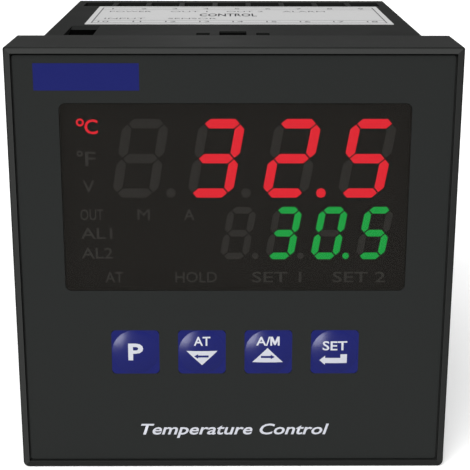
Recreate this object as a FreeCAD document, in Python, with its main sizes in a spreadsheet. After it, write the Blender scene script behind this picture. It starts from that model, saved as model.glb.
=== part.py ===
import FreeCAD, Part
import math
import os
import re

import Sketcher
from FreeCAD import Vector

# A process temperature controller for a square panel cut-out, in millimetres.
# X runs to the right of the front face, +Y from the front into the panel, and Z upwards.
# The origin is the centre of the gasket's back face, which seats on the panel.

doc = FreeCAD.newDocument("process_controller")

# ---------------------------------------------------------------------------------------------
# Driving sizes. Depths along Y are counted from the front plane of the bezel's rim.
# ---------------------------------------------------------------------------------------------

SIZES = (
    ("small_round_sides", 8, "facets round a small turned piece or its hole"),
    ("face_size", 72.0, "side of the square front face"),
    ("total_depth", 87.5, "front of the rim to the rear of the body"),
    ("bezel_depth", 13.5, "front of the rim to the back of the bezel"),
    ("bezel_upper_corner", 0.4, "radius of the bezel's two upper corners"),
    ("bezel_lower_corner", 1.0, "radius of the bezel's two lower corners"),
    ("front_edge", 0.25, "chamfer along the front edge of the rim"),
    ("rim_width", 1.05, "width of the raised rim"),
    ("rim_rise", 0.4, "how far the rim stands in front of the film"),
    ("film_gap", 0.3, "groove between the rim and the film"),
    ("film_corner", 0.4, "radius of the film's corners"),
    ("film_thickness", 0.4, "thickness of the printed film"),
    ("front_wall", 1.6, "wall behind the film"),
    ("gasket_thickness", 1.0, "thickness of the panel gasket"),
    ("gasket_inset", 0.4, "gasket's outer edge inside the bezel's"),
    ("bezel_overhang", 2.1, "bezel outside the body on each side"),
    ("slip_fit", 0.1, "clearance between parts that slide together"),
    ("window_width", 55.7, "width of the display window"),
    ("window_height", 31.1, "height of the display window"),
    ("window_across", 0.25, "window's centre to the right of the middle"),
    ("window_top_inset", 9.0, "window's top edge below the top of the face"),
    ("window_corner", 0.95, "radius of the window's corners"),
    ("window_fit", 0.08, "clearance round the window"),
    ("window_recess", 0.2, "window's back in front of the wall's back"),
    ("digit_lean", 0.1755, "sideways lean of a digit for each mm of height"),
    ("segment_thickness", 0.1, "thickness of a segment"),
    ("segment_gap", 0.17, "tip of a segment to the corner it points at"),
    ("upper_stroke", 1.52, "width of an upper read-out segment"),
    ("upper_digit_width", 5.86, "upper digit, between its upright segments"),
    ("upper_half_height", 5.73, "upper digit, between its level segments"),
    ("upper_pitch", 12.2, "upper digit to the next"),
    ("upper_digit_inset", 6.58, "last upper digit inside the window's side"),
    ("upper_digit_up", 6.24, "upper digits' middle above window's centre"),
    ("upper_point", 1.62, "diameter of an upper decimal point"),
    ("upper_point_offset", 5.85, "upper decimal point from its digit's foot"),
    ("lower_stroke", 1.11, "width of a lower read-out segment"),
    ("lower_digit_width", 3.56, "lower digit, between its upright segments"),
    ("lower_half_height", 3.91, "lower digit, between its level segments"),
    ("lower_pitch", 7.47, "lower digit to the next"),
    ("lower_digit_inset", 4.97, "last lower digit inside the window's side"),
    ("lower_digit_up", -6.31, "lower digits' middle above window's centre"),
    ("lower_point", 1.12, "diameter of a lower decimal point"),
    ("lower_point_offset", 3.5, "lower decimal point from its digit's foot"),
    ("glass_border", 1.0, "display glass beyond the window"),
    ("glass_thickness", 1.1, "one plate of the display glass"),
    ("glass_ledge", 2.0, "rear plate below the front plate"),
    ("light_guide", 3.2, "thickness of the light guide"),
    ("light_guide_inset", 1.5, "light guide inside the display glass"),
    ("light_guide_peg", 2.4, "side of a light guide peg"),
    ("pin_width", 0.5, "width of a display pin"),
    ("pin_pitch", 2.54, "display pin to the next"),
    ("pin_count", 21, "display pins along the lower edge"),
    ("board_standoff", 6.6, "front wall's back to the display board"),
    ("board_thickness", 1.6, "thickness of every circuit board"),
    ("board_gap", 0.4, "clearance round a board inside the body"),
    ("key_width", 7.95, "width of a key"),
    ("key_height", 7.75, "height of a key"),
    ("key_corner", 0.8, "radius of a key's corners"),
    ("key_pitch", 11.1, "key to the next"),
    ("key_across", 0.24, "row of keys, centre right of the middle"),
    ("key_down", 15.0, "row of keys, centre below the middle"),
    ("key_gap", 0.12, "clearance round a key"),
    ("key_thickness", 0.8, "thickness of a key's plate"),
    ("key_travel", 0.3, "how far a key is pressed"),
    ("key_reserve", 0.1, "room left behind a pressed key"),
    ("dome_diameter", 7.6, "diameter of a key's dome"),
    ("dome_top", 2.4, "diameter of the flat top of a key's dome"),
    ("dome_height", 0.35, "height of a key's dome"),
    ("stem_side", 3.4, "side of a key's square stem"),
    ("guide_clearance", 0.2, "clearance round a key's stem"),
    ("guide_wall", 1.3, "wall of a key's guide tube"),
    ("guide_length", 2.2, "guide tube behind the front wall"),
    ("switch_size", 6.2, "side of a key switch"),
    ("switch_height", 3.4, "height of a key switch"),
    ("plunger_diameter", 3.2, "diameter of a switch plunger"),
    ("plunger_rise", 1.2, "plunger in front of its switch"),
    ("plunger_depth", 1.4, "plunger inside its switch"),
    ("post_diameter", 4.0, "diameter of a board post"),
    ("post_side_inset", 6.4, "board post's centre inside the body's side"),
    ("post_foot_inset", 5.9, "lower board posts above the body's bottom"),
    ("post_gap", 0.3, "upper board posts below the display glass"),
    ("screw_thread", 1.7, "diameter of a board screw"),
    ("screw_grip", 4.5, "board screw's length in its post"),
    ("screw_head", 3.4, "diameter of a board screw's head"),
    ("screw_head_height", 1.2, "height of a board screw's head"),
    ("screw_slot", 0.5, "width of a board screw's slot"),
    ("body_wall", 2.0, "wall of the body"),
    ("body_corner", 0.4, "radius of the body's corners"),
    ("body_overlap", 4.3, "body inside the bezel's skirt"),
    ("latch_width", 4.9, "width of a latch slot"),
    ("latch_start", 30.0, "front of the latch slots"),
    ("latch_length", 5.2, "length of a latch slot"),
    ("latch_arm", 1.4, "thickness of a latch arm"),
    ("latch_play", 0.15, "latch hook inside its slot"),
    ("latch_sink", 0.4, "latch hook below the body's surface"),
    ("latch_nose", 2.2, "sloping part of a latch hook"),
    ("vent_width", 2.4, "width of a slot beside the latch"),
    ("vent_length", 3.0, "length of a slot beside the latch"),
    ("vent_across", 5.4, "slot beside the latch from the middle"),
    ("clamp_width", 5.3, "width of a clamp slot"),
    ("clamp_start", 29.8, "front of a clamp slot"),
    ("clamp_length", 6.4, "length of a clamp slot"),
    ("clamp_inset", 3.6, "clamp slot from the side of the body"),
    ("clamp_ramp_length", 6.8, "length of the ramp behind a clamp slot"),
    ("clamp_ramp_depth", 1.2, "depth of the ramp at the slot"),
    ("rail_height", 1.6, "height of a board rail"),
    ("rail_width", 1.2, "width of a board rail"),
    ("side_board_inset", 11.2, "side board's centre from the body's side"),
    ("side_board_start", 1.0, "side board behind the display board"),
    ("terminal_pitch", 7.2, "terminal to the next"),
    ("entry_width", 6.1, "width of a wire entry"),
    ("entry_length", 6.9, "length of a wire entry"),
    ("entry_rear_gap", 3.8, "wire entries in front of the body's rear"),
    ("entry_depth", 13.6, "wire entry below the body's surface"),
    ("block_gap", 0.2, "clearance round the terminal block"),
    ("block_front_wall", 2.2, "terminal block in front of the entries"),
    ("block_rear_sink", 0.3, "terminal block inside the body's rear"),
    ("block_core_wall", 2.4, "wall left round the block's hollow"),
    ("clamp_screw_down", 9.0, "terminal screw below the body's surface"),
    ("clamp_screw", 3.0, "diameter of a terminal screw"),
    ("clamp_screw_head", 5.2, "diameter of a terminal screw's head"),
    ("clamp_screw_head_height", 1.3, "height of a terminal screw's head"),
    ("clamp_screw_slot", 0.8, "width of a terminal screw's slot"),
    ("head_sink", 0.3, "terminal screw's head inside the block"),
    ("head_clearance", 0.3, "clearance round a terminal screw's head"),
    ("thread_clearance", 0.1, "clearance round a terminal screw"),
    ("plate_side", 5.6, "width and height of a clamp plate"),
    ("plate_thickness", 1.2, "thickness of a clamp plate"),
    ("plate_play", 0.2, "clamp plate in front of the rear wall"),
    ("contact_thickness", 1.0, "thickness of a contact"),
    ("contact_height", 7.4, "height of a contact"),
    ("contact_pin", 1.0, "side of a contact's square pin"),
    ("contact_pin_gap", 0.1, "clearance round a contact's pin"),
    ("contact_pin_down", 11.6, "contact pin below the body's surface"),
    ("contact_pin_through", 1.0, "contact pin in front of its board"),
    ("terminal_board_gap", 1.0, "terminal board in front of the block"),
    ("connector_width", 5.0, "width of a board connector"),
    ("connector_length", 26.0, "length of a board connector"),
    ("connector_reach", 6.0, "board connector's height off its board"),
    ("connector_pin_gap", 0.6, "board connectors above the display pins"),
    ("connector_floor", 0.9, "floor of a board connector"),
    ("connector_gap", 0.1, "clearance round a board in its connector"),
    ("chip_side", 10.0, "side of the microcontroller"),
    ("chip_thickness", 1.4, "thickness of the microcontroller"),
    ("chip_leads_reach", 1.0, "microcontroller's leads beyond its case"),
    ("chip_lead_thickness", 0.2, "thickness of the microcontroller's leads"),
    ("isolator_length", 6.5, "length of an optocoupler"),
    ("isolator_width", 4.6, "width of an optocoupler"),
    ("isolator_height", 3.6, "height of an optocoupler"),
    ("isolator_pitch", 11.0, "optocoupler to the next"),
    ("relay_length", 18.0, "length of a relay"),
    ("relay_height", 15.0, "height of a relay off its board"),
    ("relay_width", 10.0, "width of a relay"),
    ("relay_gap", 3.0, "between the relays"),
    ("relay_edge", 0.5, "chamfer on a relay's case"),
    ("core_length", 16.0, "length of the transformer core"),
    ("core_height", 13.0, "height of the transformer core"),
    ("core_width", 5.0, "width of the transformer core"),
    ("core_limb", 4.0, "outer limb of the transformer core"),
    ("winding_width", 12.0, "width of the transformer winding"),
    ("winding_standoff", 0.8, "transformer winding off its board"),
    ("capacitor_diameter", 10.0, "diameter of the supply capacitor"),
    ("capacitor_length", 16.0, "length of the supply capacitor"),
    ("capacitor_inset", 10.8, "supply capacitor's middle above its board's foot"),
    ("label_width", 58.9, "width of the wiring label"),
    ("label_length", 29.8, "length of the wiring label"),
    ("label_gap", 1.9, "wiring label in front of the wire entries"),
    ("label_across", 1.3, "wiring label, centre right of the middle"),
    ("label_thickness", 0.12, "thickness of the wiring label"),
)

sheet = doc.addObject("Spreadsheet::Sheet", "sizes")
for row, (alias, number, meaning) in enumerate(SIZES, start=1):
    sheet.set(f"A{row}", meaning)
    sheet.set(f"B{row}", str(number))
    sheet.setAlias(f"B{row}", alias)
doc.recompute()

ALIAS = re.compile(r"\b[a-z]+(?:_[a-z]+)+\b")


def cells(text):
    """The expression with each size read from the sheet."""
    return ALIAS.sub(lambda word: "sizes." + word.group(0), text)


def bind(thing, target, text):
    """Bind one property of an object to an expression of the sheet's sizes."""
    thing.setExpression(target, cells(text))


def value(text):
    """The number that an expression of the sheet's sizes gives now."""
    return float(sheet.evalExpression(cells(text)))


# Places along Y, as depths behind the front of the rim.
FILM_BACK = "(rim_rise + film_thickness)"
WALL_BACK = f"({FILM_BACK} + front_wall)"
BOARD_FRONT = f"({WALL_BACK} + board_standoff)"
BOARD_BACK = f"({BOARD_FRONT} + board_thickness)"
SWITCH_FRONT = f"({BOARD_FRONT} - switch_height)"
PLUNGER_TIP = f"({SWITCH_FRONT} - plunger_rise)"
ENTRY_END = "(total_depth - entry_rear_gap)"
ENTRY_START = f"({ENTRY_END} - entry_length)"
BLOCK_FRONT = f"({ENTRY_START} - block_front_wall)"
BLOCK_REAR = "(total_depth - block_rear_sink)"
TERMINAL_BOARD_FRONT = f"({BLOCK_FRONT} - terminal_board_gap - board_thickness)"

# Holes that two pieces share.
HEAD_HOLE = "(clamp_screw_head + 2 * head_clearance)"
SCREW_HOLE = "(clamp_screw + 2 * thread_clearance)"
PIN_HOLE = "(contact_pin + 2 * contact_pin_gap)"

# Places across, measured from the middle of the front face.
BODY_HALF = "(face_size / 2 - bezel_overhang)"
BODY_INNER = f"({BODY_HALF} - body_wall)"
SIDE_BOARD = f"({BODY_HALF} - side_board_inset)"
SCREW_LINE = f"({BODY_HALF} - clamp_screw_down)"
WINDOW_UP = "(face_size / 2 - window_top_inset - window_height / 2)"

# The display glass, which the bezel's posts and the display board's parts stand clear of.
GLASS_WIDTH = "(window_width + 2 * glass_border)"
GLASS_HEIGHT = "(window_height + 2 * glass_border)"
GLASS_FOOT = f"({WINDOW_UP} - {GLASS_HEIGHT} / 2 - glass_ledge)"

# As many terminals as fit between the side walls.
TERMINAL_COUNT = f"(floor((2 * {BODY_INNER} - entry_width) / terminal_pitch) + 1)"


def y_of(depth):
    """The Y coordinate of a depth behind the front of the rim."""
    return f"({depth}) - bezel_depth - gasket_thickness"


# ---------------------------------------------------------------------------------------------
# Helpers for bodies made of sketches.
# ---------------------------------------------------------------------------------------------

NODES = []


def new_body(label):
    """An empty body that becomes one node."""
    body = doc.addObject("PartDesign::Body", label)
    body.Label = label
    NODES.append(body)
    return body


def new_sketch(body, name, role, offset):
    """A sketch on one of the body's own origin planes, moved along its normal."""
    sketch = body.newObject("Sketcher::SketchObject", f"{body.Name}_{name}")
    plane = [item for item in body.Origin.OriginFeatures if item.Role == role][0]
    sketch.AttachmentSupport = (plane, [""])
    sketch.MapMode = "FlatFace"
    bind(sketch, "AttachmentOffset.Base.z", offset)
    return sketch


def front_sketch(body, name, depth):
    """A sketch seen from the front, with X to the right and Z up."""
    return new_sketch(body, name, "XZ_Plane", f"bezel_depth + gasket_thickness - ({depth})")


def dimension(sketch, kind, items, text):
    """One driving dimension of a sketch, bound to an expression."""
    number = sketch.addConstraint(Sketcher.Constraint(kind, *items, value(text)))
    bind(sketch, f"Constraints[{number}]", text)


def add_rectangle(sketch, width, height, across="0", up="0"):
    """A rectangle with its centre at (across, up)."""
    left, right = value(f"({across}) - ({width}) / 2"), value(f"({across}) + ({width}) / 2")
    low, high = value(f"({up}) - ({height}) / 2"), value(f"({up}) + ({height}) / 2")
    corners = [Vector(left, low), Vector(right, low), Vector(right, high), Vector(left, high)]
    first = sketch.GeometryCount
    for turn in range(4):
        sketch.addGeometry(Part.LineSegment(corners[turn], corners[(turn + 1) % 4]))
    for turn in range(4):
        sketch.addConstraint(
            Sketcher.Constraint("Coincident", first + turn, 2, first + (turn + 1) % 4, 1)
        )
        kind = "Horizontal" if turn % 2 == 0 else "Vertical"
        sketch.addConstraint(Sketcher.Constraint(kind, first + turn))
    dimension(sketch, "DistanceX", (first, 1, first, 2), width)
    dimension(sketch, "DistanceY", (first + 1, 1, first + 1, 2), height)
    dimension(sketch, "DistanceX", (-1, 1, first, 1), f"({across}) - ({width}) / 2")
    dimension(sketch, "DistanceY", (-1, 1, first, 1), f"({up}) - ({height}) / 2")


def add_rounded(sketch, width, height, corner, across="0", up="0", lower_corner=None):
    """A rectangle with round corners, the lower ones of another radius where that is given."""
    foot_corner = lower_corner or corner
    middle = Vector(value(across), value(up))
    half_w, half_h = value(width) / 2, value(height) / 2
    signs = ((-1, -1), (1, -1), (1, 1), (-1, 1))
    radii = [value(foot_corner), value(foot_corner), value(corner), value(corner)]
    outward = (Vector(0, -1), Vector(1, 0), Vector(0, 1), Vector(-1, 0))
    first = sketch.GeometryCount
    centres = [
        middle + Vector(sx * (half_w - radius), sy * (half_h - radius))
        for (sx, sy), radius in zip(signs, radii)
    ]
    for turn in range(4):
        following = (turn + 1) % 4
        start = centres[turn] + outward[turn] * radii[turn]
        end = centres[following] + outward[turn] * radii[following]
        sketch.addGeometry(Part.LineSegment(start, end))
    quarter = math.pi / 2
    for turn in range(4):
        following = (turn + 1) % 4
        circle = Part.Circle(centres[following], Vector(0, 0, 1), radii[following])
        sketch.addGeometry(Part.ArcOfCircle(circle, (turn - 1) * quarter, turn * quarter))
    for turn in range(4):
        line, arc, following = first + turn, first + 4 + turn, first + (turn + 1) % 4
        sketch.addConstraint(Sketcher.Constraint("Tangent", line, 2, arc, 1))
        sketch.addConstraint(Sketcher.Constraint("Tangent", arc, 2, following, 1))
        kind = "Horizontal" if turn % 2 == 0 else "Vertical"
        sketch.addConstraint(Sketcher.Constraint(kind, line))
    sketch.addConstraint(Sketcher.Constraint("Equal", first + 4, first + 7))
    sketch.addConstraint(Sketcher.Constraint("Equal", first + 5, first + 6))
    dimension(sketch, "Radius", (first + 4,), foot_corner)
    dimension(sketch, "Radius", (first + 5,), corner)
    dimension(sketch, "DistanceX", (first + 3, 1, first + 1, 1), width)
    dimension(sketch, "DistanceY", (first, 1, first + 2, 1), height)
    dimension(sketch, "DistanceX", (-1, 1, first + 3, 1), f"({across}) - ({width}) / 2")
    dimension(sketch, "DistanceY", (-1, 1, first, 1), f"({up}) - ({height}) / 2")


def add_polygon(sketch, points):
    """A closed outline of straight lines through (across, up) points."""
    corners = [Vector(value(across), value(up)) for across, up in points]
    first, count = sketch.GeometryCount, len(corners)
    for turn in range(count):
        sketch.addGeometry(Part.LineSegment(corners[turn], corners[(turn + 1) % count]))
    for turn in range(count):
        following = first + (turn + 1) % count
        sketch.addConstraint(Sketcher.Constraint("Coincident", first + turn, 2, following, 1))
    for turn, (across, up) in enumerate(points):
        dimension(sketch, "DistanceX", (-1, 1, first + turn, 1), across)
        dimension(sketch, "DistanceY", (-1, 1, first + turn, 1), up)


def add_faceted(sketch, diameter, across="0", up="0"):
    """A small round outline drawn with a few straight sides, its corners on the circle."""
    middle, radius = Vector(value(across), value(up)), value(diameter) / 2
    sides = int(value("small_round_sides"))
    turns = [2 * math.pi * number / sides for number in range(sides)]
    corners = [middle + Vector(math.cos(a), math.sin(a)) * radius for a in turns]
    circle = sketch.addGeometry(Part.Circle(middle, Vector(0, 0, 1), radius), True)
    dimension(sketch, "Diameter", (circle,), diameter)
    dimension(sketch, "DistanceX", (-1, 1, circle, 3), across)
    dimension(sketch, "DistanceY", (-1, 1, circle, 3), up)
    first = circle + 1
    for number in range(sides):
        line = Part.LineSegment(corners[number], corners[(number + 1) % sides])
        sketch.addGeometry(line)
    rules = []
    for number in range(sides):
        line, following = first + number, first + (number + 1) % sides
        rules.append(Sketcher.Constraint("Coincident", line, 2, following, 1))
        rules.append(Sketcher.Constraint("PointOnObject", line, 1, circle))
        if number:
            rules.append(Sketcher.Constraint("Equal", first, line))
    sketch.addConstraint(rules)
    dimension(sketch, "DistanceY", (circle, 3, first, 1), "0")


def pad(body, sketch, length, flip=False):
    """Material from the sketch: a front sketch is flipped to run into the panel."""
    feature = body.newObject("PartDesign::Pad", sketch.Name + "_pad")
    feature.Profile = sketch
    feature.Reversed = flip
    bind(feature, "Length", length)
    return feature


def pocket(body, sketch, length, flip=False):
    """A cut from the sketch against its normal, so a front sketch cuts into the panel."""
    doc.recompute()
    before = body.Shape.Volume
    feature = body.newObject("PartDesign::Pocket", sketch.Name + "_pocket")
    feature.Profile = sketch
    feature.Reversed = flip
    bind(feature, "Length", length)
    doc.recompute()
    if not body.Shape.Volume < before:
        raise ValueError(f"{feature.Name} cuts nothing")
    return feature


def row_of_terminals(body, features):
    """Repeat the first terminal's features along the row."""
    pattern = body.newObject("PartDesign::LinearPattern", f"{body.Name}_row")
    pattern.Originals = features
    pattern.Direction = ([i for i in body.Origin.OriginFeatures if i.Role == "X_Axis"][0], [""])
    bind(pattern, "Length", f"({TERMINAL_COUNT} - 1) * terminal_pitch")
    bind(pattern, "Occurrences", TERMINAL_COUNT)
    body.Tip = pattern
    return pattern


def both_ways(feature):
    """The feature's length is shared by both sides of its sketch."""
    feature.Midplane = True


# ---------------------------------------------------------------------------------------------
# Helpers for pieces made of primitives.
# ---------------------------------------------------------------------------------------------


def place(thing, x, y, z):
    """Bind the position of a piece."""
    for axis, text in zip("xyz", (x, y, z)):
        bind(thing, f"Placement.Base.{axis}", text)


def block(name, width, depth, height, x, y, z):
    """A box with its lowest corner at (x, y, z)."""
    thing = doc.addObject("Part::Box", name)
    bind(thing, "Length", width)
    bind(thing, "Width", depth)
    bind(thing, "Height", height)
    place(thing, x, y, z)
    return thing


def rod(name, diameter, length, x, y, z):
    """A bar that runs along +Y from (x, y, z), round but for its small facets."""
    thing = doc.addObject("Part::Prism", name)
    bind(thing, "Polygon", "small_round_sides")
    bind(thing, "Circumradius", f"({diameter}) / 2")
    bind(thing, "Height", length)
    thing.Placement = FreeCAD.Placement(Vector(), FreeCAD.Rotation(Vector(1, 0, 0), -90))
    place(thing, x, y, z)
    return thing


def cut(name, base, tool):
    """The base with the tool taken out of it."""
    thing = doc.addObject("Part::Cut", name)
    thing.Base = base
    thing.Tool = tool
    return thing


def fuse(name, pieces):
    """The pieces joined into one solid."""
    thing = doc.addObject("Part::MultiFuse", name)
    thing.Shapes = pieces
    thing.Refine = True
    return thing


def group(label, pieces):
    """Separate like pieces that share one node."""
    thing = doc.addObject("Part::Compound", label)
    thing.Links = pieces
    return as_node(thing, label)


def as_node(thing, label):
    """The finished piece becomes one node."""
    thing.Label = label
    NODES.append(thing)
    return thing


KEYS = ("program", "down", "up", "set")
KEY_MIDDLES = [f"(key_across + {step} * key_pitch)" for step in (-1.5, -0.5, 0.5, 1.5)]
TERMINALS = range(round(value(TERMINAL_COUNT)))


def terminal_x(number):
    """The middle of a terminal along the row."""
    return f"(({number} - ({TERMINAL_COUNT} - 1) / 2) * terminal_pitch)"


# ---------------------------------------------------------------------------------------------
# Front bezel: a square moulded tray with a raised rim. Its skirt runs back to the panel, and
# behind the front wall stand the key guides, the board posts and two long latch arms.
# ---------------------------------------------------------------------------------------------

bezel = new_body("front_bezel")
outline = front_sketch(bezel, "outline", "0")
add_rounded(
    outline, "face_size", "face_size", "bezel_upper_corner", lower_corner="bezel_lower_corner"
)
shell = pad(bezel, outline, "bezel_depth", flip=True)
doc.recompute()

front_plane = value(y_of("0"))
front_edges = []
for number, edge in enumerate(shell.Shape.Edges, start=1):
    if all(abs(corner.Y - front_plane) < 1e-6 for corner in edge.Vertexes):
        front_edges.append(f"Edge{number}")
edging = bezel.newObject("PartDesign::Chamfer", "front_edging")
edging.Base = (shell, front_edges)
bind(edging, "Size", "front_edge")

recess = front_sketch(bezel, "recess", "0")
add_rectangle(recess, "face_size - 2 * rim_width", "face_size - 2 * rim_width")
pocket(bezel, recess, FILM_BACK)

hollow = front_sketch(bezel, "hollow", WALL_BACK)
SKIRT_INNER = f"(2 * ({BODY_HALF} + slip_fit))"
add_rounded(hollow, SKIRT_INNER, SKIRT_INNER, "body_corner + slip_fit")
pocket(bezel, hollow, f"bezel_depth - {WALL_BACK}")

opening = front_sketch(bezel, "window_opening", FILM_BACK)
add_rounded(
    opening,
    "window_width + 2 * window_fit",
    "window_height + 2 * window_fit",
    "window_corner + window_fit",
    "window_across",
    WINDOW_UP,
)
pocket(bezel, opening, "front_wall")

GUIDE_BORE = "(stem_side + 2 * guide_clearance)"
GUIDE_SIDE = f"({GUIDE_BORE} + 2 * guide_wall)"
guides = front_sketch(bezel, "key_guides", WALL_BACK)
for middle in KEY_MIDDLES:
    add_rectangle(guides, GUIDE_SIDE, GUIDE_SIDE, middle, "-key_down")
pad(bezel, guides, "guide_length", flip=True)

posts = front_sketch(bezel, "board_posts", WALL_BACK)
POST_LINE = f"({BODY_HALF} - post_side_inset)"
POST_FOOT = f"(post_foot_inset - {BODY_HALF})"
POST_TOP = f"({GLASS_FOOT} - post_gap - post_diameter / 2)"
POSTS = []
for side in (-1, 1):
    for height in (POST_FOOT, POST_TOP):
        POSTS.append((f"{side} * {POST_LINE}", height))
for across, up in POSTS:
    add_faceted(posts, "post_diameter", across, up)
pad(bezel, posts, "board_standoff", flip=True)

post_bores = front_sketch(bezel, "post_bores", f"{BOARD_FRONT} - screw_grip - slip_fit")
for across, up in POSTS:
    add_faceted(post_bores, "screw_thread", across, up)
pocket(bezel, post_bores, "screw_grip + slip_fit")

key_seats = front_sketch(bezel, "key_seats", FILM_BACK)
for middle in KEY_MIDDLES:
    add_rounded(
        key_seats,
        "key_width + 2 * key_gap",
        "key_height + 2 * key_gap",
        "key_corner + key_gap",
        middle,
        "-key_down",
    )
KEY_BACK = "(rim_rise + key_thickness)"
pocket(bezel, key_seats, f"{KEY_BACK} + key_travel + key_reserve - {FILM_BACK}")

key_bores = front_sketch(bezel, "key_bores", FILM_BACK)
for middle in KEY_MIDDLES:
    add_rectangle(key_bores, GUIDE_BORE, GUIDE_BORE, middle, "-key_down")
pocket(bezel, key_bores, "front_wall + guide_length")

# Each latch arm lies along the inside of the body and hooks into the middle slot.
ARM_OUTER = f"({BODY_INNER} - slip_fit)"
HOOK_TOP = f"({BODY_HALF} - latch_sink)"
HOOK_START = "(latch_start + latch_play)"
HOOK_END = "(latch_start + latch_length - latch_play)"
for name, way in (("upper", "1"), ("lower", "-1")):
    arm = new_sketch(bezel, f"{name}_latch", "YZ_Plane", "0")
    profile = (
        (WALL_BACK, f"({ARM_OUTER} - latch_arm)"),
        (HOOK_END, f"({ARM_OUTER} - latch_arm)"),
        (HOOK_END, ARM_OUTER),
        (f"({HOOK_START} + latch_nose)", HOOK_TOP),
        (HOOK_START, HOOK_TOP),
        (HOOK_START, ARM_OUTER),
        (WALL_BACK, ARM_OUTER),
    )
    add_polygon(arm, [(y_of(depth), f"{way} * {up}") for depth, up in profile])
    both_ways(pad(bezel, arm, "latch_width - 2 * latch_play"))

# ---------------------------------------------------------------------------------------------
# Front film: the printed overlay, glued into the bezel's recess.
# ---------------------------------------------------------------------------------------------

film = new_body("front_overlay")
film_outline = front_sketch(film, "outline", "rim_rise")
FILM_SIDE = "(face_size - 2 * (rim_width + film_gap))"
add_rounded(film_outline, FILM_SIDE, FILM_SIDE, "film_corner")
add_rounded(
    film_outline,
    "window_width + 2 * window_fit",
    "window_height + 2 * window_fit",
    "window_corner + window_fit",
    "window_across",
    WINDOW_UP,
)
for middle in KEY_MIDDLES:
    add_rounded(
        film_outline,
        "key_width + 2 * key_gap",
        "key_height + 2 * key_gap",
        "key_corner + key_gap",
        middle,
        "-key_down",
    )
pad(film, film_outline, "film_thickness", flip=True)

# ---------------------------------------------------------------------------------------------
# Display window: a smoked filter plate in the film and the wall, bonded over the display.
# ---------------------------------------------------------------------------------------------

window = new_body("display_window")
window_outline = front_sketch(window, "outline", "rim_rise")
add_rounded(
    window_outline, "window_width", "window_height", "window_corner", "window_across", WINDOW_UP
)
pad(window, window_outline, f"{WALL_BACK} - rim_rise - window_recess", flip=True)

# ---------------------------------------------------------------------------------------------
# Display glass: two plates, the rear one longer at the foot to carry the pins.
# ---------------------------------------------------------------------------------------------

glass = new_body("display_glass")
front_plate = front_sketch(glass, "front_plate", WALL_BACK)
add_rectangle(front_plate, GLASS_WIDTH, GLASS_HEIGHT, "window_across", WINDOW_UP)
pad(glass, front_plate, "glass_thickness", flip=True)
rear_plate = front_sketch(glass, "rear_plate", f"{WALL_BACK} + glass_thickness")
add_rectangle(
    rear_plate,
    GLASS_WIDTH,
    f"{GLASS_HEIGHT} + glass_ledge",
    "window_across",
    f"{WINDOW_UP} - glass_ledge / 2",
)
pad(glass, rear_plate, "glass_thickness", flip=True)

# ---------------------------------------------------------------------------------------------
# Display pins: a row along the foot of the glass, soldered through the display board.
# ---------------------------------------------------------------------------------------------

PIN_TOP = f"({WINDOW_UP} - {GLASS_HEIGHT} / 2 - pin_width)"
pins = []
for number in range(int(value("pin_count"))):
    across = f"window_across + ({number} - (pin_count - 1) / 2) * pin_pitch"
    pins.append(
        block(
            f"display_pin_{number + 1}",
            "pin_width",
            f"{BOARD_BACK} + pin_width - ({WALL_BACK} + 2 * glass_thickness)",
            "pin_width",
            f"{across} - pin_width / 2",
            y_of(f"{WALL_BACK} + 2 * glass_thickness"),
            f"{PIN_TOP} - pin_width",
        )
    )
group("display_pins", pins)

# ---------------------------------------------------------------------------------------------
# Light guide behind the glass, on four pegs that stand on the display board.
# ---------------------------------------------------------------------------------------------

GUIDE_FRONT = f"({WALL_BACK} + 2 * glass_thickness)"
GUIDE_WIDTH = f"({GLASS_WIDTH} - 2 * light_guide_inset)"
GUIDE_HEIGHT = f"({GLASS_HEIGHT} - 2 * light_guide_inset)"
light_guide = new_body("light_guide")
guide_plate = front_sketch(light_guide, "plate", GUIDE_FRONT)
add_rectangle(guide_plate, GUIDE_WIDTH, GUIDE_HEIGHT, "window_across", WINDOW_UP)
pad(light_guide, guide_plate, "light_guide", flip=True)
guide_pegs = front_sketch(light_guide, "pegs", f"{GUIDE_FRONT} + light_guide")
for side in (-1, 1):
    for level in (-1, 1):
        add_rectangle(
            guide_pegs,
            "light_guide_peg",
            "light_guide_peg",
            f"window_across + {side} * ({GUIDE_WIDTH} / 2 - light_guide_peg)",
            f"{WINDOW_UP} + {level} * ({GUIDE_HEIGHT} / 2 - light_guide_peg)",
        )
pad(light_guide, guide_pegs, f"{BOARD_FRONT} - {GUIDE_FRONT} - light_guide", flip=True)

# ---------------------------------------------------------------------------------------------
# Read-outs: seven-segment digits that lean to the right, on the front of the display glass.
# The upper row shows the measured value and the lower row the set value. In each row some
# segments are lit and the rest show faintly, so lit and unlit ones are separate groups.
# ---------------------------------------------------------------------------------------------

# Corners of a digit in half widths and half heights, and the two ends of each segment.
CORNERS = {"p": (-1, 1), "q": (1, 1), "r": (-1, 0), "s": (1, 0), "t": (-1, -1), "u": (1, -1)}
SEGMENTS = {"a": "pq", "b": "qs", "c": "su", "d": "tu", "e": "rt", "f": "pr", "g": "rs"}
FIGURES = {" ": "", "0": "abcdef", "2": "abged", "3": "abgcd", "5": "afgcd"}


def segment_outline(start, end, stroke):
    """Six corners of a segment with pointed ends, before the digit leans."""
    along = (end - start).normalize()
    side = Vector(-along.y, along.x, 0) * (stroke / 2)
    tip = along * value("segment_gap")
    shoulder = along * (value("segment_gap") + stroke / 2)
    return [
        start + tip,
        start + shoulder + side,
        end - shoulder + side,
        end - tip,
        end - shoulder - side,
        start + shoulder - side,
    ]


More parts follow.
